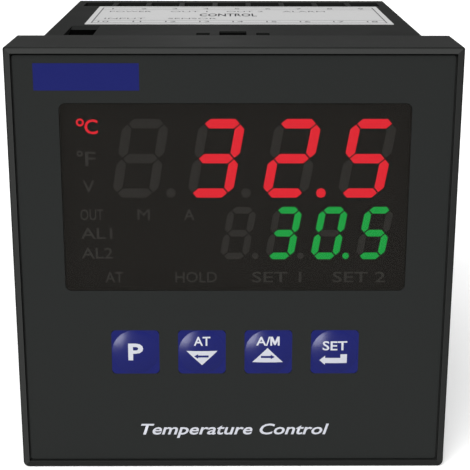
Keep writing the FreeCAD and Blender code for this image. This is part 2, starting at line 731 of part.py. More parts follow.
def read_out(row, figures, point_after):
    """The lit and the unlit solids of one row of digits."""
    glass_front = value(y_of(WALL_BACK))
    width, half = value(f"{row}_digit_width"), value(f"{row}_half_height")
    stroke, lean = value(f"{row}_stroke"), value("digit_lean")
    middle_z = value(f"{WINDOW_UP} + {row}_digit_up")
    forward = Vector(0, -value("segment_thickness"), 0)
    sides = int(value("small_round_sides"))
    turns = [2 * math.pi * number / sides for number in range(sides)]
    spokes = [Vector(math.cos(turn), 0, math.sin(turn)) for turn in turns]
    lit, unlit = [], []
    for place_number, figure in enumerate(figures):
        back = len(figures) - 1 - place_number
        last_x = f"window_across + window_width / 2 - {row}_digit_inset"
        middle_x = value(f"{last_x} - {back} * {row}_pitch")

        def leaning(point):
            return Vector(middle_x + point.x + lean * point.y, glass_front, middle_z + point.y)

        ends = {
            name: Vector(sx * width / 2, sy * half, 0) for name, (sx, sy) in CORNERS.items()
        }
        for letter, (first, last) in SEGMENTS.items():
            outline = [leaning(p) for p in segment_outline(ends[first], ends[last], stroke)]
            face = Part.Face(Part.makePolygon(outline + outline[:1]))
            solid = face.extrude(forward)
            (lit if letter in FIGURES[figure] else unlit).append(solid)
        if back:
            centre = leaning(Vector(value(f"{row}_point_offset"), -half, 0))
            rim = [centre + spoke * (value(f"{row}_point") / 2) for spoke in spokes]
            dot = Part.Face(Part.makePolygon(rim + rim[:1])).extrude(forward)
            (lit if place_number == point_after else unlit).append(dot)
    return lit, unlit


for row, figures in (("upper", " 325"), ("lower", " 305")):
    for state, solids in zip(("lit", "unlit"), read_out(row, figures, point_after=2)):
        readout = doc.addObject("Part::Feature", f"{row}_digits_{state}")
        readout.Shape = Part.makeCompound(solids)
        as_node(readout, f"{row}_digits_{state}")

# ---------------------------------------------------------------------------------------------
# Display board, notched for the latch arms and drilled for its screws and pins.
# ---------------------------------------------------------------------------------------------

BOARD_SIDE = f"(2 * ({BODY_INNER} - board_gap))"
display_board = new_body("display_board")
board_outline = front_sketch(display_board, "outline", BOARD_FRONT)
add_rectangle(board_outline, BOARD_SIDE, BOARD_SIDE)
for across, up in POSTS:
    add_faceted(board_outline, "screw_thread + 2 * slip_fit", across, up)
add_rectangle(
    board_outline,
    "pin_count * pin_pitch",
    "pin_width + 2 * slip_fit",
    "window_across",
    f"{PIN_TOP} - pin_width / 2",
)
pad(display_board, board_outline, "board_thickness", flip=True)
NOTCH = "(latch_arm + 2 * board_gap)"
for name, way in (("upper", "1"), ("lower", "-1")):
    notch = front_sketch(display_board, f"{name}_notch", BOARD_FRONT)
    add_rectangle(
        notch,
        "latch_width + 2 * board_gap",
        f"2 * {NOTCH}",
        "0",
        f"{way} * {BOARD_SIDE} / 2",
    )
    pocket(display_board, notch, "board_thickness")

# ---------------------------------------------------------------------------------------------
# Four screws hold the display board on the bezel's posts. Their slots are cut across.
# ---------------------------------------------------------------------------------------------

board_screws = []
for number, (across, up) in enumerate(POSTS, start=1):
    shank = rod(
        f"board_shank_{number}",
        "screw_thread - slip_fit",
        "screw_grip + board_thickness",
        across,
        y_of(f"{BOARD_FRONT} - screw_grip"),
        up,
    )
    head = rod(
        f"board_head_{number}", "screw_head", "screw_head_height", across, y_of(BOARD_BACK), up
    )
    slot = block(
        f"board_slot_{number}",
        "screw_head",
        "screw_head_height / 2",
        "screw_slot",
        f"{across} - screw_head / 2",
        y_of(f"{BOARD_BACK} + screw_head_height / 2"),
        f"{up} - screw_slot / 2",
    )
    joined = fuse(f"board_screw_whole_{number}", [shank, head])
    board_screws.append(cut(f"board_screw_{number}", joined, slot))
group("board_screws", board_screws)

# ---------------------------------------------------------------------------------------------
# Keys: a blue plate with a round dome and a stem that runs through its guide to the switch.
# Each one slides into the panel and is returned by its switch.
# ---------------------------------------------------------------------------------------------

for name, middle in zip(KEYS, KEY_MIDDLES):
    key = new_body(f"key_{name}")
    place(key, middle, y_of("rim_rise"), "-key_down")
    plate = new_sketch(key, "plate", "XZ_Plane", "0")
    add_rounded(plate, "key_width", "key_height", "key_corner")
    pad(key, plate, "key_thickness", flip=True)
    stem = new_sketch(key, "stem", "XZ_Plane", "-key_thickness")
    add_rectangle(stem, "stem_side", "stem_side")
    pad(key, stem, f"{PLUNGER_TIP} - {KEY_BACK}", flip=True)
    dome = new_sketch(key, "dome", "YZ_Plane", "0")
    add_polygon(
        dome,
        [
            ("0", "0"),
            ("0", "dome_diameter / 2"),
            ("-dome_height", "dome_top / 2"),
            ("-dome_height", "0"),
        ],
    )
    turned = key.newObject("PartDesign::Revolution", f"{key.Name}_dome_turned")
    turned.Profile = dome
    turned.ReferenceAxis = (dome, ["H_Axis"])
    turned.Angle = 360.0

# ---------------------------------------------------------------------------------------------
# Key switches on the display board, and the plunger that moves with each key.
# ---------------------------------------------------------------------------------------------

switches = []
for name, middle in zip(KEYS, KEY_MIDDLES):
    case = block(
        f"switch_case_{name}",
        "switch_size",
        "switch_height",
        "switch_size",
        f"{middle} - switch_size / 2",
        y_of(SWITCH_FRONT),
        "-key_down - switch_size / 2",
    )
    well = rod(
        f"switch_well_{name}",
        "plunger_diameter + 2 * guide_clearance",
        "plunger_depth + key_travel + guide_clearance",
        middle,
        y_of(SWITCH_FRONT),
        "-key_down",
    )
    switches.append(cut(f"switch_{name}", case, well))
    plunger = rod(
        f"plunger_{name}",
        "plunger_diameter",
        "plunger_rise + plunger_depth",
        middle,
        y_of(PLUNGER_TIP),
        "-key_down",
    )
    as_node(plunger, f"plunger_{name}")
group("key_switches", switches)

# ---------------------------------------------------------------------------------------------
# Panel gasket: a flat ring on the back of the bezel, slipped over the body.
# ---------------------------------------------------------------------------------------------

gasket = new_body("panel_gasket")
ring = front_sketch(gasket, "ring", "bezel_depth")
GASKET_OUTER = "(face_size - 2 * gasket_inset)"
add_rounded(
    ring, GASKET_OUTER, GASKET_OUTER, "bezel_upper_corner", lower_corner="bezel_lower_corner"
)
add_rounded(ring, SKIRT_INNER, SKIRT_INNER, "body_corner + slip_fit")
pad(gasket, ring, "gasket_thickness", flip=True)

# ---------------------------------------------------------------------------------------------
# Body: a square moulded sleeve, open at both ends. The bezel's latches hook into it, panel
# clamps hook into two opposite corners, and wires enter through rows of slots near the rear.
# ---------------------------------------------------------------------------------------------

BODY_FRONT = "(bezel_depth - body_overlap)"
body_outer, body_inner = f"(2 * {BODY_HALF})", f"(2 * {BODY_INNER})"
housing = new_body("body_sleeve")
sleeve = front_sketch(housing, "outline", BODY_FRONT)
add_rounded(sleeve, body_outer, body_outer, "body_corner")
add_rectangle(sleeve, body_inner, body_inner)
pad(housing, sleeve, f"total_depth - {BODY_FRONT}", flip=True)

# Two rails at the top and two at the foot hold each side board by its edges.
rails = front_sketch(housing, "board_rails", BOARD_BACK)
for side in (-1, 1):
    for face in (-1, 1):
        offset = f"{side} * {SIDE_BOARD} + {face} * (board_thickness / 2 + slip_fit + rail_width / 2)"
        for level in (-1, 1):
            up = f"{level} * ({BODY_INNER} - rail_height / 2 + slip_fit / 2)"
            add_rectangle(rails, "rail_width", "rail_height + slip_fit", offset, up)
pad(housing, rails, f"{TERMINAL_BOARD_FRONT} - slip_fit - {BOARD_BACK}", flip=True)


def slots_through(name, shapes):
    """Slots cut right through the top and the foot of the sleeve."""
    drawing = new_sketch(housing, name, "XY_Plane", "0")
    for width, length, across, start in shapes:
        add_rectangle(drawing, width, length, across, y_of(f"{start} + {length} / 2"))
    feature = pocket(housing, drawing, f"4 * {BODY_HALF}")
    both_ways(feature)
    return feature


slots_through(
    "latch_slots",
    [("latch_width", "latch_length", "0", "latch_start")]
    + [
        ("vent_width", "vent_length", f"{side} * vent_across", "latch_start") for side in (-1, 1)
    ],
)
first_entry = slots_through(
    "wire_entry", [("entry_width", "entry_length", terminal_x(0), ENTRY_START)]
)
row_of_terminals(housing, [first_entry])

# A clamp slot at the top left and one at the bottom right, each with a ramp behind it.
CLAMP_ACROSS = f"({BODY_HALF} - clamp_inset - clamp_width / 2)"
CLAMP_END = "(clamp_start + clamp_length)"
for name, way in (("upper", -1), ("lower", 1)):
    slot = new_sketch(housing, f"{name}_clamp_slot", "XY_Plane", "0")
    add_rectangle(
        slot,
        "clamp_width",
        "clamp_length",
        f"{way} * {CLAMP_ACROSS}",
        y_of("clamp_start + clamp_length / 2"),
    )
    pocket(housing, slot, f"2 * {BODY_HALF}", flip=way < 0)
    ramp = new_sketch(
        housing, f"{name}_clamp_ramp", "YZ_Plane", f"{way} * {CLAMP_ACROSS}"
    )
    surface = f"{-way} * {BODY_HALF}"
    add_polygon(
        ramp,
        [
            (y_of(CLAMP_END), f"{-way} * ({BODY_HALF} - clamp_ramp_depth)"),
            (y_of(f"{CLAMP_END} + clamp_ramp_length"), surface),
            (y_of(CLAMP_END), surface),
        ],
    )
    both_ways(pocket(housing, ramp, "clamp_width"))

# ---------------------------------------------------------------------------------------------
# Side boards: the control board on the left and the power board on the right, standing in
# the rails and plugged into the display board and the terminal board at their ends.
# ---------------------------------------------------------------------------------------------

SIDE_BOARD_FRONT = f"({BOARD_BACK} + side_board_start)"
SIDE_BOARD_END = f"({TERMINAL_BOARD_FRONT} - side_board_start)"
for label, side in (("control_board", -1), ("power_board", 1)):
    board = block(
        label,
        "board_thickness",
        f"{SIDE_BOARD_END} - {SIDE_BOARD_FRONT}",
        f"2 * ({BODY_INNER} - slip_fit)",
        f"{side} * {SIDE_BOARD} - board_thickness / 2",
        y_of(SIDE_BOARD_FRONT),
        f"slip_fit - {BODY_INNER}",
    )
    as_node(board, label)

# ---------------------------------------------------------------------------------------------
# Terminal board across the rear, drilled for the pins of the contacts.
# ---------------------------------------------------------------------------------------------

PIN_LINE = f"({BODY_HALF} - contact_pin_down)"
terminal_board = new_body("terminal_board")
terminal_outline = front_sketch(terminal_board, "outline", TERMINAL_BOARD_FRONT)
add_rectangle(terminal_outline, BOARD_SIDE, BOARD_SIDE)
for number in TERMINALS:
    for level in (-1, 1):
        across, up = terminal_x(number), f"{level} * {PIN_LINE}"
        add_rectangle(terminal_outline, PIN_HOLE, PIN_HOLE, across, up)
pad(terminal_board, terminal_outline, "board_thickness", flip=True)

# ---------------------------------------------------------------------------------------------
# Board connectors: a slotted block at each end of each side board.
# ---------------------------------------------------------------------------------------------


def connectors(label, start, slot_start):
    """The two connectors at one end of the side boards."""
    pieces = []
    for side in (-1, 1):
        middle = f"{side} * {SIDE_BOARD}"
        case = block(
            f"{label}_case_{side + 2}",
            "connector_width",
            "connector_reach",
            "connector_length",
            f"{middle} - connector_width / 2",
            y_of(start),
            f"{PIN_TOP} + connector_pin_gap",
        )
        slot = block(
            f"{label}_slot_{side + 2}",
            "board_thickness + 2 * connector_gap",
            "connector_reach",
            "2 * connector_length",
            f"{middle} - board_thickness / 2 - connector_gap",
            y_of(slot_start),
            "-connector_length",
        )
        pieces.append(cut(f"{label}_{side + 2}", case, slot))
    group(label, pieces)


connectors("front_connectors", BOARD_BACK, f"{BOARD_BACK} + connector_floor")
connectors(
    "rear_connectors",
    f"{TERMINAL_BOARD_FRONT} - connector_reach",
    f"{TERMINAL_BOARD_FRONT} - connector_floor - connector_reach",
)

# ---------------------------------------------------------------------------------------------
# Control board's parts, on its inner face: the microcontroller with its leads, and a row of
# optocouplers.
# ---------------------------------------------------------------------------------------------

CONTROL_FACE = f"(board_thickness / 2 - {SIDE_BOARD})"
CHIP_MIDDLE = f"({SIDE_BOARD_FRONT} + connector_reach + chip_side)"
chip_case = block(
    "chip_case",
    "chip_thickness",
    "chip_side",
    "chip_side",
    f"{CONTROL_FACE} + chip_lead_thickness",
    y_of(f"{CHIP_MIDDLE} - chip_side / 2"),
    "-chip_side / 2",
)
LEADS_SIDE = "(chip_side + 2 * chip_leads_reach)"
chip_parts = [chip_case]
for name, depth, height in (
    ("across", LEADS_SIDE, "(chip_side - 2 * chip_leads_reach)"),
    ("upright", "(chip_side - 2 * chip_leads_reach)", LEADS_SIDE),
):
    chip_parts.append(
        block(
            f"chip_leads_{name}",
            "chip_lead_thickness",
            depth,
            height,
            CONTROL_FACE,
            y_of(f"{CHIP_MIDDLE} - {depth} / 2"),
            f"-{height} / 2",
        )
    )
as_node(fuse("microcontroller", chip_parts), "microcontroller")

isolators = []
for step in (-1, 0, 1):
    isolators.append(
        block(
            f"optocoupler_{step + 2}",
            "isolator_height",
            "isolator_width",
            "isolator_length",
            CONTROL_FACE,
            y_of(f"({SIDE_BOARD_FRONT} + {SIDE_BOARD_END}) / 2 + chip_side"),
            f"{step} * isolator_pitch - isolator_length / 2",
        )
    )
group("optocouplers", isolators)

# ---------------------------------------------------------------------------------------------
# Power board's parts, on its inner face: two relays, the supply transformer and capacitor.
# ---------------------------------------------------------------------------------------------

POWER_FACE = f"({SIDE_BOARD} - board_thickness / 2)"
relays = []
for step in (0, 1):
    case = block(
        f"relay_case_{step + 1}",
        "relay_height",
        "relay_length",
        "relay_width",
        f"{POWER_FACE} - relay_height",
        y_of(f"{SIDE_BOARD_END} - connector_reach - relay_length"),
        f"relay_gap / 2 + {step} * (relay_width + relay_gap)",
    )
    relay = doc.addObject("Part::Chamfer", f"relay_{step + 1}")
    relay.Base = case
    doc.recompute()
    edge_size = value("relay_edge")
    relay.Edges = [(number + 1, edge_size, edge_size) for number in range(len(case.Shape.Edges))]
    relays.append(relay)
group("output_relays", relays)

CORE_FRONT = f"({SIDE_BOARD_FRONT} + connector_reach + winding_width)"
CORE_X = f"({POWER_FACE} - winding_standoff - core_height)"
core_whole = block(
    "core_whole",
    "core_height",
    "core_width",
    "core_length",
    CORE_X,
    y_of(CORE_FRONT),
    "0",
)
core_window = block(
    "core_window",
    "core_height - 2 * core_limb / 2",
    "core_width",
    "core_length - core_limb",
    f"{CORE_X} + core_limb / 2",
    y_of(CORE_FRONT),
    "core_limb / 2",
)
core_ring = cut("core_ring", core_whole, core_window)
CORE_MID_Z = "(core_length / 2)"
core_leg = block(
    "core_leg",
    "core_height - core_limb",
    "core_width",
    "core_limb",
    f"{CORE_X} + core_limb / 2",
    y_of(CORE_FRONT),
    f"{CORE_MID_Z} - core_limb / 2",
)
as_node(fuse("transformer_core", [core_ring, core_leg]), "transformer_core")

winding_whole = block(
    "winding_whole",
    "core_height - core_limb",
    "winding_width",
    "core_length - core_limb",
    f"{CORE_X} + core_limb / 2",
    y_of(f"{CORE_FRONT} + core_width / 2 - winding_width / 2"),
    "core_limb / 2",
)
winding_bore = block(
    "winding_bore",
    "core_height",
    "core_width",
    "core_limb",
    CORE_X,
    y_of(CORE_FRONT),
    f"{CORE_MID_Z} - core_limb / 2",
)
as_node(cut("transformer_winding", winding_whole, winding_bore), "transformer_winding")

capacitor = doc.addObject("Part::Cylinder", "supply_capacitor")
bind(capacitor, "Radius", "capacitor_diameter / 2")
bind(capacitor, "Height", "capacitor_length")
capacitor.Placement = FreeCAD.Placement(Vector(), FreeCAD.Rotation(Vector(1, 0, 0), -90))
place(
    capacitor,
    f"{POWER_FACE} - capacitor_diameter / 2",
    y_of(f"{SIDE_BOARD_FRONT} + connector_reach + core_width"),
    f"slip_fit + capacitor_inset - {BODY_INNER}",
)
as_node(capacitor, "supply_capacitor")

# ---------------------------------------------------------------------------------------------
# Terminal block: closes the rear of the sleeve. Each wire entry has a pocket below it, a hole
# for its screw's head in the rear and a small square hole for its contact's pin in front.
# ---------------------------------------------------------------------------------------------

BLOCK_SIDE = f"(2 * ({BODY_INNER} - block_gap))"
terminal_block = new_body("terminal_block")
block_outline = front_sketch(terminal_block, "outline", BLOCK_FRONT)
add_rectangle(block_outline, BLOCK_SIDE, BLOCK_SIDE)
pad(terminal_block, block_outline, f"{BLOCK_REAR} - {BLOCK_FRONT}", flip=True)

ENTRY_FLOOR = f"({BODY_HALF} - entry_depth)"
core = front_sketch(terminal_block, "core", BLOCK_FRONT)
CORE_SIDE = f"({BLOCK_SIDE} - 2 * block_core_wall)"
add_rectangle(core, CORE_SIDE, f"2 * ({ENTRY_FLOOR} - block_core_wall)")
pocket(terminal_block, core, f"{BLOCK_REAR} - block_core_wall - {BLOCK_FRONT}")

first_terminal = []
for name, level in (("upper", 1), ("lower", -1)):
    entry = new_sketch(
        terminal_block, f"{name}_entry", "XY_Plane", f"{level} * {ENTRY_FLOOR}"
    )
    add_rectangle(
        entry,
        "entry_width",
        "entry_length",
        terminal_x(0),
        y_of(f"{ENTRY_START} + entry_length / 2"),
    )
    first_terminal.append(pocket(terminal_block, entry, "entry_depth", flip=level > 0))

HEAD_BACK = f"({BLOCK_REAR} - head_sink)"
HEAD_FRONT = f"({HEAD_BACK} - clamp_screw_head_height)"
head_hole = front_sketch(terminal_block, "head_hole", HEAD_FRONT)
screw_hole = front_sketch(terminal_block, "screw_hole", ENTRY_END)
pin_hole = front_sketch(terminal_block, "pin_hole", BLOCK_FRONT)
for level in (-1, 1):
    screw_line, pin_line = f"{level} * {SCREW_LINE}", f"{level} * {PIN_LINE}"
    add_faceted(head_hole, HEAD_HOLE, terminal_x(0), screw_line)
    add_faceted(screw_hole, SCREW_HOLE, terminal_x(0), screw_line)
    add_rectangle(pin_hole, PIN_HOLE, PIN_HOLE, terminal_x(0), pin_line)
first_terminal.append(pocket(terminal_block, head_hole, f"{BLOCK_REAR} - {HEAD_FRONT}"))
first_terminal.append(pocket(terminal_block, screw_hole, f"{HEAD_FRONT} - {ENTRY_END}"))
first_terminal.append(pocket(terminal_block, pin_hole, "block_front_wall"))
row_of_terminals(terminal_block, first_terminal)

# ---------------------------------------------------------------------------------------------
# Terminals: a screw from the rear, the clamp plate that it pulls forward, and the contact
# that it threads into, with a pin through the terminal board.
# ---------------------------------------------------------------------------------------------

SCREW_TIP = f"({ENTRY_START} + thread_clearance)"
for name, level in (("upper", 1), ("lower", -1)):
    screws, plates, contacts = [], [], []
    line = f"{level} * {SCREW_LINE}"
    for number in TERMINALS:
        tag, across = f"{name}_{number + 1}", terminal_x(number)
        shank = rod(
            f"screw_shank_{tag}",
            "clamp_screw",
            f"{HEAD_FRONT} - {SCREW_TIP}",
            across,
            y_of(SCREW_TIP),
            line,
        )
        head = rod(
            f"screw_head_{tag}",
            "clamp_screw_head",
            "clamp_screw_head_height",
            across,
            y_of(HEAD_FRONT),
            line,
        )
        slot = block(
            f"screw_slot_{tag}",
            "clamp_screw_head",
            "clamp_screw_head_height / 2",
            "clamp_screw_slot",
            f"{across} - clamp_screw_head / 2",
            y_of(f"{HEAD_BACK} - clamp_screw_head_height / 2"),
            f"{line} - clamp_screw_slot / 2",
        )
        whole = fuse(f"screw_whole_{tag}", [shank, head])
        screws.append(cut(f"terminal_screw_{tag}", whole, slot))

        plate = block(
            f"plate_whole_{tag}",
            "plate_side",
            "plate_thickness",
            "plate_side",
            f"{across} - plate_side / 2",
            y_of(f"{ENTRY_END} - plate_play - plate_thickness"),
            f"{line} - plate_side / 2",
        )
        plate_hole = rod(
            f"plate_hole_{tag}",
            SCREW_HOLE,
            "plate_thickness",
            across,
            y_of(f"{ENTRY_END} - plate_play - plate_thickness"),
            line,
        )
        plates.append(cut(f"clamp_plate_{tag}", plate, plate_hole))

        strip = block(
            f"contact_strip_{tag}",
            "plate_side",
            "contact_thickness",
            "contact_height",
            f"{across} - plate_side / 2",
            y_of(ENTRY_START),
            f"{line} + {level} * (plate_side - contact_height) / 2 - contact_height / 2",
        )
        pin = block(
            f"contact_pin_{tag}",
            "contact_pin",
            f"{ENTRY_START} + contact_thickness - {TERMINAL_BOARD_FRONT} + contact_pin_through",
            "contact_pin",
            f"{across} - contact_pin / 2",
            y_of(f"{TERMINAL_BOARD_FRONT} - contact_pin_through"),
            f"{level} * {PIN_LINE} - contact_pin / 2",
        )
        thread = rod(
            f"contact_thread_{tag}",
            "clamp_screw + thread_clearance",
            "contact_thickness",
            across,
            y_of(ENTRY_START),
            line,
        )
        joined = fuse(f"contact_whole_{tag}", [strip, pin])
        contacts.append(cut(f"contact_{tag}", joined, thread))
    group(f"terminal_screws_{name}", screws)
    group(f"clamp_plates_{name}", plates)
    group(f"contacts_{name}", contacts)

# ---------------------------------------------------------------------------------------------
# Wiring label, stuck on the top of the sleeve.
# ---------------------------------------------------------------------------------------------

wiring_label = block(
    "wiring_label",
    "label_width",
    "label_length",
    "label_thickness",
    "label_across - label_width / 2",
    y_of(f"{ENTRY_START} - label_gap - label_length"),
    BODY_HALF,
)
as_node(wiring_label, "wiring_label")

# ---------------------------------------------------------------------------------------------
# Check every object, then write one file for each node.
# ---------------------------------------------------------------------------------------------

doc.recompute()
for thing in doc.Objects:
    if "Invalid" in thing.State or "Error" in thing.State:
        raise ValueError(f"{thing.Name} did not recompute: {thing.State}")
os.makedirs("parts", exist_ok=True)
for node in NODES:
    if node.Shape.isNull() or not node.Shape.isValid() or not node.Shape.Solids:
        raise ValueError(f"{node.Label} has no valid solid")
    node.Shape.exportStep(os.path.join("parts", f"{node.Label}.step"))
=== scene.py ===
import math

import bmesh
import bpy
from mathutils import Matrix, Vector


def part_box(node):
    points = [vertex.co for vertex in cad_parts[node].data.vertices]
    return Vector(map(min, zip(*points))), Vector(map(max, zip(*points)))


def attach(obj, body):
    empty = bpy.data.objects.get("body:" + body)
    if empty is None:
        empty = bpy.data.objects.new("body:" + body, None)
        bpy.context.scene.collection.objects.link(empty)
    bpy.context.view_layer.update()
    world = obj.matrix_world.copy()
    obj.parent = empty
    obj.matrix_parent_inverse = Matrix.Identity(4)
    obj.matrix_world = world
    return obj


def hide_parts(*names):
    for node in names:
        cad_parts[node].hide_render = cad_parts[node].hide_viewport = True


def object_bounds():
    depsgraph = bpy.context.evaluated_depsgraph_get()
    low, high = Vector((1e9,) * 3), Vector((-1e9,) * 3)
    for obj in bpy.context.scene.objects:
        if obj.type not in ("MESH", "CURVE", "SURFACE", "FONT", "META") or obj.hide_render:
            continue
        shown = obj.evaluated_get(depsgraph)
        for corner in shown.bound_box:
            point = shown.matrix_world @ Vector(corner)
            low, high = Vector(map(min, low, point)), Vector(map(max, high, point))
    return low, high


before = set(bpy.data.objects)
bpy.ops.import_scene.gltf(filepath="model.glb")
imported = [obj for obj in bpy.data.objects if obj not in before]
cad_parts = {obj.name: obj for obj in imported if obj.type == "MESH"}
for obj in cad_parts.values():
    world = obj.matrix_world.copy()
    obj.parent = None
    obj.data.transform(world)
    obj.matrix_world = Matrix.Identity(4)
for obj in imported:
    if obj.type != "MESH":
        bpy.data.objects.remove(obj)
cad_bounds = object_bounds()

# ------------------------------------------------------------------------------------------------
# Camera. It stands in front of the panel face, a little to the left of its middle, and looks
# down on the front and the top of the body.
# ------------------------------------------------------------------------------------------------

MM = 0.001
eye = Vector((-1.38, -208.02, 63.38)) * MM
yaw, pitch, roll = math.radians(0.462), math.radians(16.641), math.radians(0.109)
forward = Vector(
    (math.sin(yaw) * math.cos(pitch), math.cos(yaw) * math.cos(pitch), -math.sin(pitch))
)
level = Vector((math.cos(yaw), -math.sin(yaw), 0))
upright = level.cross(forward)
right = level * math.cos(roll) + upright * math.sin(roll)
up = upright * math.cos(roll) - level * math.sin(roll)

camera_data = bpy.data.cameras.new("camera")
camera_data.sensor_width = 36
camera_data.lens = 95.34
camera = bpy.data.objects.new("camera", camera_data)
bpy.context.scene.collection.objects.link(camera)
turned = Matrix((right, up, -forward)).transposed().to_4x4()
camera.matrix_world = Matrix.Translation(eye) @ turned
bpy.context.scene.camera = camera
bpy.context.scene.view_settings.view_transform = "Standard"

# ------------------------------------------------------------------------------------------------
# Studio: a plain white floor under the bezel, an even pale surround and one large soft lamp from
# the upper left. Small cards only show as sheen: one behind on the body's top, and one to the
# lower left of each key as the crescent on its dome.
# ------------------------------------------------------------------------------------------------


def linear(code):
    """An sRGB hex colour as linear red, green, blue and alpha."""
    parts = [int(code[start:start + 2], 16) / 255 for start in (0, 2, 4)]
    return (*[p / 12.92 if p <= 0.04045 else ((p + 0.055) / 1.055) ** 2.4 for p in parts], 1)


def add(tree, kind, inputs=None, to=None, **settings):
    """One node. An input is a plain value or another node's output; to leads its outputs on.

    A Mix node of colours has its factor at 0, its colours at 6 and 7, and the result at 2.
    """
    made = tree.nodes.new(kind)
    for name, setting in settings.items():
        setattr(made, name, setting)
    for name, given in (inputs or {}).items():
        if isinstance(given, bpy.types.NodeSocket):
            tree.links.new(given, made.inputs[name])
        else:
            made.inputs[name].default_value = given
    for name, socket in (to or {}).items():
        tree.links.new(made.outputs[name], socket)
    return made


def new_material(name):
    """A material with its tree, its Principled node and the object's coordinates."""
    made = bpy.data.materials.new(name)
    made.use_nodes = True
    coords = add(made.node_tree, "ShaderNodeTexCoord").outputs["Object"]
    return made, made.node_tree, made.node_tree.nodes["Principled BSDF"], coords


def new_piece(name, mesh, surface, body):
    """An object from a finished bmesh, with its material, and on its body if it has one."""
    data = bpy.data.meshes.new(name)
    mesh.to_mesh(data)
    mesh.free()
    data.materials.append(surface)
    piece = bpy.data.objects.new(name, data)
    bpy.context.scene.collection.objects.link(piece)
    if body:
        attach(piece, body)
    return piece


# Rolled matt paint: an even white without gloss. It looks white to the camera and in reflections,
# and sends the light of a pale grey back to the object.
floor_paint, tree, shader, coords = new_material("rolled_white_floor_paint")
roller_marks = add(
    tree, "ShaderNodeTexNoise", {"Vector": coords, "Scale": 1000 / 25, "Detail": 2.0}
)
add(
    tree,
    "ShaderNodeMapRange",
    {"Value": roller_marks.outputs[0], "To Min": 0.985, "To Max": 1.0},
    to={0: shader.inputs["Roughness"]},
)
rays = add(tree, "ShaderNodeLightPath").outputs
seen = rays["Is Camera Ray"]
for other in ("Is Glossy Ray", "Is Transmission Ray"):
    seen = add(tree, "ShaderNodeMath", {0: seen, 1: rays[other]}, operation="MAXIMUM").outputs[0]
add(
    tree,
    "ShaderNodeMix",
    {0: seen, 6: linear("BEBEBE"), 7: linear("FFFFFF")},
    to={2: shader.inputs["Base Color"]},
    data_type="RGBA",
)
shader.inputs["Specular IOR Level"].default_value = 0.1
add(
    tree,
    "ShaderNodeMapRange",
    {"Value": rays["Is Camera Ray"], "To Max": 0.28},
    to={0: shader.inputs["Emission Strength"]},
)

ground = bmesh.new()
bmesh.ops.create_grid(ground, x_segments=1, y_segments=1, size=2.5)
just_below = cad_bounds[0].z - 0.02 * MM
bmesh.ops.translate(ground, verts=ground.verts, vec=(0, 0.5, just_below))
floor = new_piece("floor", ground, floor_paint, None)

world = bpy.data.worlds.new("studio")
bpy.context.scene.world = world
world.use_nodes = True
sky = world.node_tree
surround = sky.nodes["Background"].inputs
surround["Color"].default_value = linear("FFFFFF")
add(
    sky,
    "ShaderNodeMapRange",
    {
        "Value": add(sky, "ShaderNodeLightPath").outputs["Is Camera Ray"],
        "To Min": 0.34,
        "To Max": 1.0,
    },
    to={0: surround["Strength"]},
)

UPPER_LEFT = Vector((-0.24, -0.62, 0.68))
sun_data = bpy.data.lights.new("large_lamp", "SUN")
sun_data.energy = 3.0
sun_data.angle = math.radians(50)
sun = bpy.data.objects.new("large_lamp", sun_data)
sun.rotation_mode = "QUATERNION"
sun.rotation_quaternion = UPPER_LEFT.to_track_quat("Z", "Y")
bpy.context.scene.collection.objects.link(sun)


def add_card(name, place, aim, width, height, power):
    """A small bright card that shows only as sheen, in metres and watts."""
    card_data = bpy.data.lights.new(name, "AREA")
    card_data.shape = "RECTANGLE"
    card_data.size = width
    card_data.size_y = height
    card_data.energy = power
    card = bpy.data.objects.new(name, card_data)
    card.location = place
    card.rotation_mode = "QUATERNION"
    card.rotation_quaternion = (Vector(place) - Vector(aim)).to_track_quat("Z", "Y")
    card.visible_camera = False
    card.visible_diffuse = False
    bpy.context.scene.collection.objects.link(card)
    return card


add_card("back_card", (-0.02, 0.7, 0.14), (-0.01, 0.03, 0.036), 0.03, 0.1, 0.012)

# ------------------------------------------------------------------------------------------------
# Bezel: one moulding of black ABS in a spark-eroded mould, with a raised rim round the film. The
# mould's draft leans the rim outward. Its forward faces are painted paler, as painted light, and
# its edges are painted paler in patches, partly as wear and partly as a painted highlight.
# ------------------------------------------------------------------------------------------------

FLOW_MARK, EDGE_WEAR_AND_SHEEN = 14, 0.12


